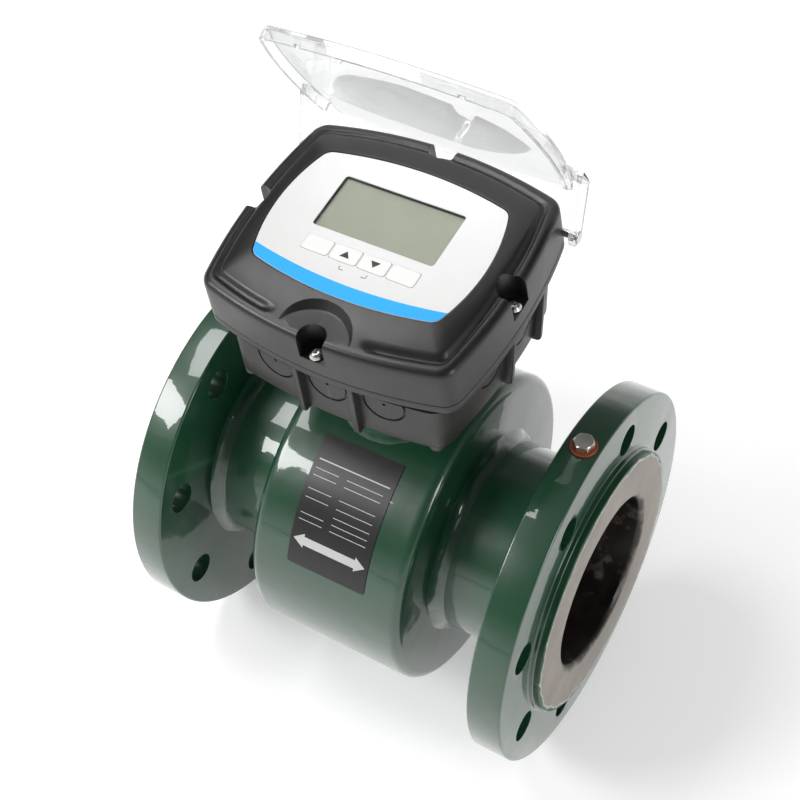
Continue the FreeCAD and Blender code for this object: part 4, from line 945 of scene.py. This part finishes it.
for k in range(29):
    share = (k / 28) ** 1.25
    ring = []
    for a, b in zip(foot, crown_edge):
        x, s = a[0] + (b[0] - a[0]) * share, a[1] + (b[1] - a[1]) * share
        across = share * math.hypot(b[0] - a[0], b[1] - a[1]) / (VALLEY_IN - VALLEY_OUT)
        valley = VALLEY_DEPTH * (0.5 - 0.5 * math.cos(2 * math.pi * min(1.0, across ** 0.75)))
        ring.append((x, s, crown_level(share) - valley * near_recess(x, s)))
    lid_rings.append(ring)
for amount, n in ((-0.6, CROWN + 0.02), (-0.4, CROWN - 0.12), (-0.32, CROWN - 0.4), (-0.3, -0.62)):
    lid_rings.append([(x, s, n) for x, s in inset(PANEL, amount)])
front_cover = lofted("cover_moulding", lid_rings, COVER_BLACK, on_lid)
print("cover rings", len(lid_rings), "faces", len(front_cover.data.polygons))

# %% [markdown]
# ## Front cover: recess, screw pockets and window
# The finger recess is a shallow dish with a sloping wall. Each screw pocket is a U open to the outside.
# They are cut together with the hole behind the display's window and the four key openings.

# %% Front cover: cuts
POCKET_R, POCKET_INSET, POCKET_FLOOR = 7.3, 3.5, -19.5
WINDOW = (-34.2, -6.8, 34.2, 27.0)
KEY_ROW, KEY_HALF = -17.3, (7.5, 4.6)
pocket_x, pocket_s = LID["half_w"] - POCKET_INSET, LID["half_d"] - POCKET_INSET


def pocket_outline(turn):
    """A U whose round end faces the middle; `turn` quarter turns put it on its side of the cover."""
    distance = pocket_x if turn % 2 == 0 else pocket_s
    shape = arc_points(distance, 0, POCKET_R, 90, 270, 24)
    shape += [(distance + 15, -POCKET_R), (distance + 15, POCKET_R)]
    quarter = Matrix.Rotation(math.pi / 2 * turn, 2)
    return [tuple(quarter @ Vector(p)) for p in shape]


cutters = [prism("pocket", pocket_outline(turn), POCKET_FLOOR, 6.0, None, on_lid) for turn in range(4)]


def on_recess(x, s, n):
    return on_lid(x, RECESS_S + s, n)


slope_top = RECESS_R + RECESS_SLOPE
rise = CROWN - LIP
dish = [(LIP, 0.0, 0), (LIP, RECESS_R, 1.2), (CROWN, slope_top, 0),
        (CROWN + 2 * rise, slope_top + 2 * RECESS_SLOPE, 0), (CROWN + 2 * rise, 0.0, 0)]
cutters.append(turned("dish", dish, None, 120, on_recess, "Z"))
cutters.append(prism("window", rounded_rectangle(*WINDOW, 1.5), -5.0, 2.0, None, on_lid))
key_centres = [(k - 1.5) * 16.05 for k in range(4)]
for x in key_centres:
    spread = rounded_rectangle(x - KEY_HALF[0] - 0.25, KEY_ROW - KEY_HALF[1] - 0.25, x + KEY_HALF[0] + 0.25,
                               KEY_ROW + KEY_HALF[1] + 0.25, 1.5)
    cutters.append(prism("key_hole", spread, -5.0, 2.0, None, on_lid))
carve(front_cover, cutters)
shade(front_cover, 28)
seat(front_cover, "meter", "front_cover")
print("cover faces after cuts", len(front_cover.data.polygons))

# %% [markdown]
# ## Lower housing
# The lower housing is a drafted box whose rim leans with the panel and overhangs by a 45 degree
# undercut. Its rings are therefore level at the floor and lean at the top. Ribs run down its front and
# sides between round knock-outs for cable entries, each a fine ring groove with a centre mark.

# %% Lower housing: walls
feet_z = node_box("enclosure_base")[0].z
BASE_Z, BASE_Y, BASE_DRAFT = node_box("pedestal_gasket")[1].z, 1.5, math.tan(math.radians(1.9))
RIM_TOP, RIM_DEPTH, UNDERCUT = -28.6, 5.0, 8.5


def lean_level(y, n):
    """Height of the leaning plane at n where it passes over y."""
    s = (y - LID_Y + n * math.sin(LEAN)) / math.cos(LEAN)
    return LID_Z + s * math.sin(LEAN) + n * math.cos(LEAN)


def wall_ring(amount, z):
    return [(x, BASE_Y + y, z) for x, y in inset(BASE, amount - BASE_DRAFT * (z - BASE_Z))]


def leaning_ring(amount, n):
    return [tuple(on_lid(x, s, n)) for x, s in inset(LID, amount - FLARE)]


under = RIM_TOP - RIM_DEPTH - UNDERCUT
top_wall = [(x, y, lean_level(y, under)) for x, y, _ in wall_ring(0, BASE_Z + 40)]
rim_low = RIM_TOP - RIM_DEPTH
base_rings = [wall_ring(amount, BASE_Z + up)
              for amount, up in ((1.2, 0), (0.35, 0.35), (0, 1.2), (0, 12), (0, 24))]
base_rings += [top_wall, leaning_ring(UNDERCUT, under)]
rim_steps = [(0.5, rim_low - 0.5), (0.12, rim_low - 0.1), (0, rim_low + 0.5), (0, RIM_TOP - 0.5),
             (0.15, RIM_TOP - 0.1), (0.5, RIM_TOP)]
base_rings += [leaning_ring(amount, n) for amount, n in rim_steps]
lower_housing = lofted("housing_moulding", base_rings, HOUSING_BLACK, on_world)
print("housing rings", len(base_rings), "z of floor", round(BASE_Z, 1))

# %% [markdown]
# ## Lower housing: knock-outs and ribs
# Each knock-out is cut with a thin ring and a small pin held against the wall's own slope. The ribs are
# separate closed bars with rounded edges that run into the wall, so they cast the narrow shadows that
# show between the knock-outs.

# %% Lower housing: details
KNOCK_R, KNOCK_GROOVE, KNOCK_DEPTH, KNOCK_Z, PITCH = 10.4, 1.3, 1.2, BASE_Z + 24.5, 31.5


def wall_place(x, z, side):
    """Placing function for a detail on the housing's wall: side is front, left or right."""
    grow = BASE_DRAFT * (z - BASE_Z)
    if side == "front":
        bow = (BASE["half_w"] - BASE["bulge_w"]) ** 2 / (2 * BASE["bulge_d"])
        origin = Vector((x, BASE_Y - BASE["half_d"] - grow + x * x / (2 * bow), z))
        outward = Vector((x / bow, -1.0, -BASE_DRAFT)).normalized()
    else:
        sign = 1 if side == "right" else -1
        bow = (BASE["half_d"] - BASE["bulge_d"]) ** 2 / (2 * BASE["bulge_w"])
        origin = Vector((sign * (BASE["half_w"] + grow - x * x / (2 * bow)), BASE_Y + x, z))
        outward = Vector((sign, sign * x / bow * sign, -BASE_DRAFT)).normalized()
    across = Vector((0, 0, 1)).cross(outward).normalized()
    up = outward.cross(across)
    return lambda a, b, c: origin + across * a + up * b + outward * c


grooves = []
spots = [(x, "front") for x in (-PITCH, 0, PITCH)]
spots += [(y, side) for side in ("left", "right") for y in (-PITCH / 2, PITCH / 2)]
for x, side in spots:
    place = wall_place(x, KNOCK_Z, side)
    rings = []
    for radius, level in ((KNOCK_R, -KNOCK_DEPTH), (KNOCK_R, 2.0), (KNOCK_R + KNOCK_GROOVE, 2.0),
                          (KNOCK_R + KNOCK_GROOVE, -KNOCK_DEPTH)):
        rings.append([(a, b, level) for a, b in arc_points(0, 0, radius, 0, 354, 59)])
    grooves.append(lofted("ring", rings, None, place, hollow=True))
    grooves.append(prism("mark", arc_points(0, 0, 0.9, 0, 330, 11), -0.7, 1.0, None, place))
carve(lower_housing, grooves)
shade(lower_housing, 30)
seat(lower_housing, "meter", "enclosure_base")
RIB_WIDTH, RIB_PROUD, RIB_DROP = 3.4, 3.8, 1.7


def make_rib(name, x, side):
    """A bar on the wall from below the floor up to the rim, open like a U at its foot."""
    place = wall_place(x, BASE_Z, side)
    front_y = place(0, 0, 0).y
    top = lean_level(front_y, RIM_TOP - RIM_DEPTH) - BASE_Z - 3
    outline = rounded_rectangle(-RIB_WIDTH / 2, -2.0, RIB_WIDTH / 2, RIB_PROUD, 0.8)
    steps = ((-RIB_DROP, 1.2), (-RIB_DROP + 0.5, 0.35), (-RIB_DROP + 1.2, 0.0), (top, -1.0))
    rings = [[(a, level, c - drop) if c > 0 else (a, level, c) for a, c in outline] for level, drop in steps]
    bar = lofted(name, rings, HOUSING_BLACK, place)
    return seat(bar, "meter")


ribs = [make_rib(f"housing_rib_front_{k}", x, "front") for k, x in enumerate((-PITCH / 2, PITCH / 2))]
for side in ("left", "right"):
    ribs += [make_rib(f"housing_rib_{side}_{k}", y, side) for k, y in enumerate((0.0, 33.5))]
feet = []
for k, (x, y) in enumerate([(a, b) for a in (-1, 1) for b in (-1, 1)]):
    foot_ring = arc_points(x * 55.0, BASE_Y + y * 52.5, 4.0, 0, 352, 44)
    rings = [[(a, b, feet_z) for a, b in arc_points(x * 55.0, BASE_Y + y * 52.5, 3.5, 0, 352, 44)],
             [(a, b, feet_z + 0.5) for a, b in foot_ring], [(a, b, BASE_Z + 1) for a, b in foot_ring]]
    feet.append(seat(lofted(f"housing_foot_{k}", rings, HOUSING_BLACK, on_world), "meter"))
gasket_rings = [leaning_ring(a, n) for a, n in ((0.7, RIM_TOP), (0.7, SPLIT), (3.4, SPLIT), (3.4, RIM_TOP))]
seat(lofted("cover_seal", gasket_rings, SEAL, on_world, hollow=True), "meter", "cover_gasket")
print(len(ribs), "ribs,", len(feet), "feet,", len(spots), "knock-outs")

# %% [markdown]
# ## Panel
# The panel is a printed foil with an opening for the display and one for each key. Its front edge carries
# a blue stripe with a gently curved upper limit. Round the display and keys the foil is embossed by a few
# hundredths of a millimetre, which is too little for geometry and is done with bump from a distance.

# %% Panel foil with its embossing


def make_embossed_foil(zones):
    """The foil's finish, with a soft step round rectangular zones of the panel."""
    material = FOIL.copy()
    material.name = "panel_foil_embossed"
    material["slot"] = "panel_foil"
    tree = material.node_tree
    shader = tree.nodes["Principled BSDF"]
    place = add_node(tree, "ShaderNodeTexCoord")
    apart = add_node(tree, "ShaderNodeSeparateXYZ")
    tree.links.new(place.outputs["Object"], apart.inputs[0])
    nearest = None
    for x, y, half_w, half_d in zones:
        gaps = []
        for socket, middle, half in ((0, x, half_w), (1, y, half_d)):
            shift = add_node(tree, "ShaderNodeMath", operation="SUBTRACT")
            shift.inputs[1].default_value = middle * MM
            tree.links.new(apart.outputs[socket], shift.inputs[0])
            size = add_node(tree, "ShaderNodeMath", operation="ABSOLUTE")
            tree.links.new(shift.outputs[0], size.inputs[0])
            beyond = add_node(tree, "ShaderNodeMath", operation="SUBTRACT")
            beyond.inputs[1].default_value = half * MM
            tree.links.new(size.outputs[0], beyond.inputs[0])
            positive = add_node(tree, "ShaderNodeMath", operation="MAXIMUM")
            tree.links.new(beyond.outputs[0], positive.inputs[0])
            gaps.append(positive.outputs[0])
        far = add_node(tree, "ShaderNodeCombineXYZ")
        tree.links.new(gaps[0], far.inputs[0])
        tree.links.new(gaps[1], far.inputs[1])
        length = add_node(tree, "ShaderNodeVectorMath", operation="LENGTH")
        tree.links.new(far.outputs[0], length.inputs[0])
        if nearest is None:
            nearest = length.outputs["Value"]
        else:
            least = add_node(tree, "ShaderNodeMath", operation="MINIMUM")
            tree.links.new(nearest, least.inputs[0])
            tree.links.new(length.outputs["Value"], least.inputs[1])
            nearest = least.outputs[0]
    step = add_node(tree, "ShaderNodeMapRange", interpolation_type="SMOOTHSTEP")
    for index, value in enumerate((0.0 * MM, 3.0 * MM, 0.0, 1.0), start=1):
        step.inputs[index].default_value = value
    tree.links.new(nearest, step.inputs[0])
    fine = shader.inputs["Normal"].links[0].from_node
    raised = add_node(tree, "ShaderNodeBump", Strength=1.0, Distance=0.00022)
    tree.links.new(step.outputs[0], raised.inputs["Height"])
    tree.links.new(raised.outputs[0], fine.inputs["Normal"])
    return material


flat_y = math.cos(LEAN)
window_mid = (WINDOW[1] + WINDOW[3]) / 2
ZONES = [(0.0, LID_Y + window_mid * flat_y, WINDOW[2] + 3.4, (WINDOW[3] - window_mid + 3.4) * flat_y),
         (0.0, LID_Y + KEY_ROW * flat_y, 33.0, 5.4 * flat_y)]
FOIL_EMBOSSED = make_embossed_foil(ZONES)
PANEL_THICK = 0.6
panel_rings = []
for amount, n in ((0.0, -PANEL_THICK), (0.0, -0.12), (0.12, 0.0)):
    panel_rings.append([(x, s, n) for x, s in inset(PANEL, amount)])
panel = lofted("panel_sheet", panel_rings, FOIL_EMBOSSED, on_lid)
openings = [prism("window", rounded_rectangle(*WINDOW, 2.0), -3.0, 2.0, None, on_lid)]
for x in key_centres:
    spread = rounded_rectangle(x - KEY_HALF[0] - 0.25, KEY_ROW - KEY_HALF[1] - 0.25, x + KEY_HALF[0] + 0.25,
                               KEY_ROW + KEY_HALF[1] + 0.25, 1.6)
    openings.append(prism("key_hole", spread, -3.0, 2.0, None, on_lid))
carve(panel, openings)
shade(panel)
seat(panel, "meter", "front_panel")
print("panel faces", len(panel.data.polygons))

# %% [markdown]
# ## Print on the panel
# The blue stripe and the bracket under the keys are print. Each is a sheet a few hundredths of a
# millimetre thick, so that it stays a shape of its own. The triangles on two of the
# keys are made in the same way and ride on their keys.

# %% Stripe, bracket and key marks


def stripe_level(x):
    return -33.4 + 0.0019 * x * x


def clip_low(points):
    """The part of a closed outline that lies below the stripe's upper limit."""
    kept = []
    for here, point in enumerate(points):
        before = points[here - 1]
        inside, was = point[1] < stripe_level(point[0]), before[1] < stripe_level(before[0])
        if inside != was:
            share = (stripe_level(before[0]) - before[1]) / (point[1] - before[1] - stripe_level(point[0])
                                                             + stripe_level(before[0]))
            kept.append(tuple(b + share * (p - b) for b, p in zip(before, point)))
        if inside:
            kept.append(point)
    return kept


edge_points = clip_low(inset(PANEL, 0.13))
left_end = min(edge_points, key=lambda p: (round(p[0], 3), -p[1]))
right_end = max(edge_points, key=lambda p: (round(p[0], 3), p[1]))
start = edge_points.index(left_end)
edge_points = edge_points[start:] + edge_points[:start]
upper = [(right_end[0] + (left_end[0] - right_end[0]) * k / 60, 0) for k in range(1, 60)]
stripe_points = edge_points + [(x, stripe_level(x)) for x, _ in upper]
stripe = prism("panel_stripe", stripe_points, -0.2, 0.05, BLUE, on_lid)
seat(stripe, "meter")
BRACKET = [(-7.6, -24.0), (-7.6, -25.4), (-7.3, -25.9), (-6.9, -26.1), (-5.0, -26.1)]
LINE = 0.35


def stroke(name, path, width, low, high, finish, place):
    """A flat line of one width along a path."""
    sides = ([], [])
    for here, point in enumerate(path):
        before, after = Vector(path[max(here - 1, 0)]), Vector(path[min(here + 1, len(path) - 1)])
        along = (after - before).normalized()
        normal = Vector((-along.y, along.x)) * width / 2
        for side, sign in zip(sides, (1, -1)):
            side.append((point[0] + sign * normal.x, point[1] + sign * normal.y))
    return prism(name, sides[0] + sides[1][::-1], low, high, finish, place)


for side_name, side in (("left", 1), ("right", -1)):
    path = [(side * x + 0.4, s) for x, s in BRACKET]
    seat(stroke("panel_bracket_" + side_name, path, LINE, -0.2, 0.04, INK, on_lid), "meter")
print("stripe points", len(stripe_points))

# %% [markdown]
# ## Keys
# Each key is its own small moulding that stands proud of the panel and travels into it. Its top is very
# slightly domed and its edges are rounded, so that it catches a thin line of light.

# %% Keys
KEY_PROUD = 0.4
COLLAR_TOP, STEM_TOP, STEM_FOOT, STEM_R = -3.6, -4.45, -5.65, 2.0


def make_key(node, x, mark):
    rings = []
    half_w, half_d = KEY_HALF
    steps = [(0.0, COLLAR_TOP), (0.0, KEY_PROUD - 0.22), (0.07, KEY_PROUD - 0.07), (0.22, KEY_PROUD - 0.02),
             (1.2, KEY_PROUD)]
    for amount, n in steps:
        shape = rounded_rectangle(x - half_w + amount, KEY_ROW - half_d + amount, x + half_w - amount,
                                  KEY_ROW + half_d - amount, 1.4 - 0.5 * amount)
        rings.append([(a, b, n) for a, b in shape])
    cap = lofted(node + "_cap_top", rings, KEY_WHITE, on_lid)
    seat(cap, node + "_cap", node)
    spread = rounded_rectangle(x - half_w, KEY_ROW - half_d - 1, x + half_w, KEY_ROW + half_d + 1, 0.5)
    collar = prism(node + "_collar", spread, STEM_TOP, COLLAR_TOP, KEY_WHITE, on_lid)
    seat(collar, node + "_cap")
    round_stem = arc_points(x, KEY_ROW, STEM_R, 0, 345, 23)
    stem = prism(node + "_stem", round_stem, STEM_FOOT, STEM_TOP, KEY_WHITE, on_lid)
    seat(stem, node + "_cap")
    if mark:
        half, tall = 2.7, 1.9 * mark
        shape = [(x - half, KEY_ROW - tall), (x + half, KEY_ROW - tall), (x, KEY_ROW + tall)]
        seat(prism(node + "_mark", shape, KEY_PROUD - 0.3, KEY_PROUD + 0.03, INK, on_lid), node + "_cap")


for node, x, mark in zip(("key_escape", "key_up", "key_down", "key_enter"), key_centres, (0, 1, -1, 0)):
    make_key(node, x, mark)
print("keys at x", [round(x, 2) for x in key_centres])

# %% [markdown]
# ## Display and window
# The display module is a dark frame with a grey-green glass a little below the panel. A clear pane lies
# over it. The pane is a thin gloss layer over the display rather than refracting glass, so it costs no
# light and exports as a plain translucent sheet.

# %% Display and window
GLASS_N = -2.0


def round_window(margin, radius):
    """The window's outline, grown by the margin on every side."""
    x_low, s_low, x_high, s_high = WINDOW
    return rounded_rectangle(x_low - margin, s_low - margin, x_high + margin, s_high + margin, radius)


module_frame = prism("display_frame", round_window(4.0, 1.0), -7.8, -3.65, LCD_FRAME, on_lid)
seat(module_frame, "meter", "display_module")
glass = prism("display_glass_sheet", round_window(-0.3, 1.6), -3.7, GLASS_N, DISPLAY, on_lid)
shade(glass)
soften(glass, 0.2, 2)
seat(glass, "meter")


def make_pane():
    material, tree, shader = new_finish("window_pane", "window_clear")
    shader.inputs["Base Color"].default_value = (0.8, 0.82, 0.8, 1.0)
    shader.inputs["IOR"].default_value = 1.45
    haze = remap(tree, effect(tree, "smudges", Scale=25.0), 0.4, 0.75, 0.04, 0.09)
    tree.links.new(haze, shader.inputs["Roughness"])
    tree.links.new(remap(tree, haze, 0.04, 0.09, 0.02, 0.05), shader.inputs["Alpha"])
    return material


PANE = make_pane()
pane = prism("window_pane_sheet", round_window(1.7, 1.5), -1.6, -0.62, PANE, on_lid)
seat(pane, "meter", "display_window")
print("display glass at n", GLASS_N)

# %% [markdown]
# ## Cover screws
# Four domed socket screws hold the front cover down. A turned domed head with a hexagon socket cut into
# it gives the small bright points deep in the pockets.

# %% Cover screws
HEAD_R, HEAD_HIGH = 3.75, 3.2
screw_nodes = ["cover_screws"]
for turn in range(4):
    distance = pocket_x if turn % 2 == 0 else pocket_s
    centre = Matrix.Rotation(math.pi / 2 * turn, 2) @ Vector((distance, 0))

    def on_screw(x, s, n, centre=centre):
        return on_lid(centre.x + x, centre.y + s, POCKET_FLOOR + n)

    dome = [(0.0, 0.0, 0), (0.0, HEAD_R - 0.1, 0.1), (1.1, HEAD_R, 0.3), (2.3, HEAD_R - 0.8, 0.9),
            (HEAD_HIGH, 1.9, 0.8), (HEAD_HIGH, 0.0, 0)]
    head = turned(f"cover_screw_{turn}", dome, STEEL, 64, on_screw, "Z")
    carve(head, [prism("socket", arc_points(0, 0, 1.45, 0, 300, 5), 1.4, 6.0, None, on_screw)])
    shade(head, 30)
    seat(head, "meter", *screw_nodes)
    screw_nodes = []
print("screws at distance", round(pocket_x, 1), round(pocket_s, 1))

# %% [markdown]
# ## Hinge pins
# The clear cover swings on two short pins in small bosses at the sides of the front cover.

# %% Hinge pins
pin_high = node_box("hinge_pins")[1]


def on_pin(x, y, z):
    return Vector((x, PIN_Y + y, PIN_Z + z))


pin_nodes = ["hinge_pins"]
for name, side in (("hinge_pin_right", 1), ("hinge_pin_left", -1)):
    profile = [(71.0, 0.0, 0), (71.0, 2.0, 0.3), (79.75, 2.0, 0), (79.98, 3.2, 0.1), (pin_high.x, 3.2, 0.35),
               (pin_high.x, 0.0, 0)]
    pin = turned(name, [(side * a, r, c) for a, r, c in profile], STEEL, 48, on_pin)
    seat(pin, "meter", *pin_nodes)
    pin_nodes = []
print(f"pins reach x {pin_high.x:.1f} mm")

# %% [markdown]
# ## Clear cover
# The clear cover is one moulding. A shallow tray with a rounded edge and an inner rim hangs on two arms
# that are cut at 45 degrees and reach down to the pins. It is drawn closed about the pins and placed at
# its open angle. The tray's outline, its hollow, the wings and the arms are joined with booleans, and a
# small bevel then rounds the edges, because bright edges are what makes clear plastic visible.

# %% Clear cover
TRAY = {"half_w": 73.4, "half_d": 62.0, "bulge_w": 7.1, "bulge_d": 5.8, "corner": 7.5, "centre": 0.8 - 51.5}
TRAY_TOP, TRAY_UNDER, TRAY_EDGE = 3.4 + 20.4, 1.7 + 20.4, -3.6 + 20.4
RIM_WIDTH, RIM_END, ARM_IN, ARM_OUT, ARM_HALF = 2.2, 38.0 - 51.5, 76.9, 79.7, 5.2


def tray_block(name, amounts, finish=None):
    return lofted(name, [[(x, s, n) for x, s in inset(TRAY, a)] for a, n in amounts], finish, on_cover)


tray_steps = [(0.25, TRAY_EDGE), (0.0, TRAY_EDGE + 0.25), (0.0, TRAY_TOP - 1.2), (0.16, TRAY_TOP - 0.62),
              (0.55, TRAY_TOP - 0.2), (1.1, TRAY_TOP)]
clear_cover = tray_block("clear_cover", tray_steps, CLEAR)
hollow = tray_block("hollow", [(RIM_WIDTH, TRAY_EDGE - 2), (RIM_WIDTH, TRAY_UNDER - 0.8), (RIM_WIDTH + 0.25,
                               TRAY_UNDER - 0.25), (RIM_WIDTH + 0.8, TRAY_UNDER)])
behind = [(-120, RIM_END), (120, RIM_END), (120, 60), (-120, 60)]
relief = prism("relief", behind, TRAY_EDGE - 2, TRAY_UNDER, None, on_cover)
cuts = [hollow, relief]
tray_front = TRAY["centre"] - TRAY["half_d"]
for x in (-42.7, 42.7):
    notch = [(x - 1.5, tray_front - 1), (x + 1.5, tray_front - 1), (x + 1.5, tray_front + 8),
             (x - 1.5, tray_front + 8)]
    cuts.append(prism("notch", notch, TRAY_EDGE - 1, TRAY_EDGE + 1.2, None, on_cover))
carve(clear_cover, cuts)
root = TRAY["half_w"] - TRAY["bulge_w"] + RIM_WIDTH
cut = ARM_HALF * math.cos(math.radians(45))
arm_line = arc_points(0, 0, ARM_HALF, 225, 405, 16)
arm_line += [(2 * cut - TRAY_TOP, TRAY_TOP), (-29.0, TRAY_TOP), (-29.0, 29.0 - 2 * cut)]
joins = []


def on_arm(y, z, x):
    """Side view of an arm: along the cover, up from the pin, then across."""
    return on_cover(x, y, z)


for side in (1, -1):
    wing = [(side * root, -29.0 - ARM_HALF), (side * ARM_OUT, -29.0), (side * ARM_OUT, -16.0),
            (side * root, -16.0 + ARM_HALF / 2)]
    joins.append(prism("wing", wing, TRAY_UNDER + 0.02, TRAY_TOP - 0.02, None, on_cover))
    ends = sorted((side * ARM_IN, side * ARM_OUT))
    joins.append(prism("arm", arm_line, *ends, None, on_arm))
carve(clear_cover, joins, "UNION")
HOLE_LINE = arc_points(0, 0, 2.05, 0, 352.5, 47)
pin_holes = [prism("pin_hole", HOLE_LINE, *ends, None, on_arm) for ends in ((70.0, 85.0), (-85.0, -70.0))]
carve(clear_cover, pin_holes)
shade(clear_cover, 25)
soften(clear_cover, 0.3, 2, 40)
seat(clear_cover, "cover", "transparent_cover")
print("clear cover faces", len(clear_cover.data.polygons))

# %% [markdown]
# ## Hidden parts
# Coils, boards and the other parts inside the housings stay as the frame has them, because their shapes
# are right. They get finishes of their own, so that the model also reads well with a cover removed.

# %% Finishes for the parts inside
COPPER = make_plain("copper_winding", "copper", (0.50, 0.20, 0.09), 0.35,
                    metal=0.8, grain=300.0, depth=0.0002)
IRON = make_plain("soft_iron", "soft_iron", (0.27, 0.27, 0.28), 0.5, metal=0.9, grain=500.0)
NYLON = make_plain("insulator", "insulator", (0.62, 0.60, 0.54), 0.5)
BOARD = make_plain("circuit_board_green", "board_green", (0.02, 0.13, 0.06), 0.35, coat=0.4)
TERMINAL = make_plain("terminal_grey", "terminal_grey", (0.25, 0.27, 0.27), 0.5)
INSIDE = {
    "coil_upper": COPPER, "coil_lower": COPPER, "pole_shoe_upper": IRON, "pole_shoe_lower": IRON,
    "magnet_yoke": IRON, "electrode_front": STEEL, "electrode_back": STEEL,
    "electrode_bushes": NYLON, "pedestal_gasket": SEAL,
    "base_screws": STEEL, "circuit_board": BOARD, "key_switches": NYLON, "terminal_board": BOARD,
    "terminal_blocks": TERMINAL,
}
for node, finish in INSIDE.items():
    part = frame["nodes"][node]
    part.data.materials.clear()
    part.data.materials.append(finish)
print(len(INSIDE), "inner parts finished")

# %% [markdown]
# ## Floor, lamps and world
# The meter stands on its flange rims on a white floor. One large softbox at the front left gives the long
# highlights on the enamel, a second fills from the right, and a wide one hangs overhead. The world is
# white to the camera and through clear plastic. To reflections it is white at the horizon and dim
# overhead, as a studio is, and as light it is a plain grey.

# %% Floor
FLOOR_Z = -110.0


def make_floor_finish():
    material = bpy.data.materials.new("studio_floor")
    material.use_nodes = True
    tree = material.node_tree
    shader = tree.nodes["Principled BSDF"]
    shader.inputs["Base Color"].default_value = (0.86, 0.86, 0.86, 1.0)
    shader.inputs["Roughness"].default_value = 0.9
    shader.inputs["Specular IOR Level"].default_value = 0.1
    shader.inputs["Emission Color"].default_value = (1.0, 1.0, 1.0, 1.0)
    path = add_node(tree, "ShaderNodeLightPath")
    seen = path.outputs["Is Camera Ray"]
    for label in ("Is Glossy Ray", "Is Transmission Ray"):
        either = add_node(tree, "ShaderNodeMath", operation="MAXIMUM")
        tree.links.new(seen, either.inputs[0])
        tree.links.new(path.outputs[label], either.inputs[1])
        seen = either.outputs[0]
    tree.links.new(remap(tree, seen, 0, 1, 0.0, 0.38), shader.inputs["Emission Strength"])
    return material


floor_mesh = bpy.data.meshes.new("studio_floor")
floor_corners = [(x * 6.0, y * 6.0, FLOOR_Z * MM) for x, y in ((-1, -1), (1, -1), (1, 1), (-1, 1))]
floor_mesh.from_pydata(floor_corners, [], [(0, 1, 2, 3)])
floor_mesh.materials.append(make_floor_finish())
floor = bpy.data.objects.new("studio_floor", floor_mesh)
scene.collection.objects.link(floor)
print("floor at z", FLOOR_Z)

# %% Lamps


def softbox(name, place, target, width, height, power):
    lamp = bpy.data.lights.new(name, "AREA")
    lamp.shape = "RECTANGLE"
    lamp.size, lamp.size_y, lamp.energy = width, height, power
    item = bpy.data.objects.new(name, lamp)
    scene.collection.objects.link(item)
    direction = Vector(target) - Vector(place)
    item.matrix_world = Matrix.Translation(place) @ direction.to_track_quat("-Z", "Y").to_matrix().to_4x4()
    return item


softbox("key_softbox", (-1.25, -1.2, 1.5), (0, 0, 0.05), 0.9, 0.6, 24)
softbox("fill_softbox", (1.7, -0.3, 0.8), (0, 0, 0.05), 0.35, 1.1, 9)
softbox("top_softbox", (-0.8, -0.05, 1.8), (0, 0, 0.2), 1.0, 0.55, 13)

# %% World
world = bpy.data.worlds.new("studio")
world.use_nodes = True
scene.world = world
tree = world.node_tree
backdrop = tree.nodes["Background"]
path = add_node(tree, "ShaderNodeLightPath")
place = add_node(tree, "ShaderNodeTexCoord")
apart = add_node(tree, "ShaderNodeSeparateXYZ")
tree.links.new(place.outputs["Generated"], apart.inputs[0])
sky = remap(tree, apart.outputs[2], 0.02, 0.30, 1.0, 0.13)


def choose(tree, mask, first, second):
    """The first value where the mask is 0 and the second where it is 1."""
    node = add_node(tree, "ShaderNodeMix", data_type="FLOAT")
    for socket, value in ((node.inputs[0], mask), (node.inputs[2], first), (node.inputs[3], second)):
        if isinstance(value, float):
            socket.default_value = value
        else:
            tree.links.new(value, socket)
    return node.outputs[0]


strength = choose(tree, path.outputs["Is Glossy Ray"], 0.32, sky)
for label in ("Is Camera Ray", "Is Transmission Ray"):
    strength = choose(tree, path.outputs[label], strength, 1.0)
tree.links.new(strength, backdrop.inputs["Strength"])
backdrop.inputs["Color"].default_value = (1.0, 1.0, 1.0, 1.0)
print("world ready")
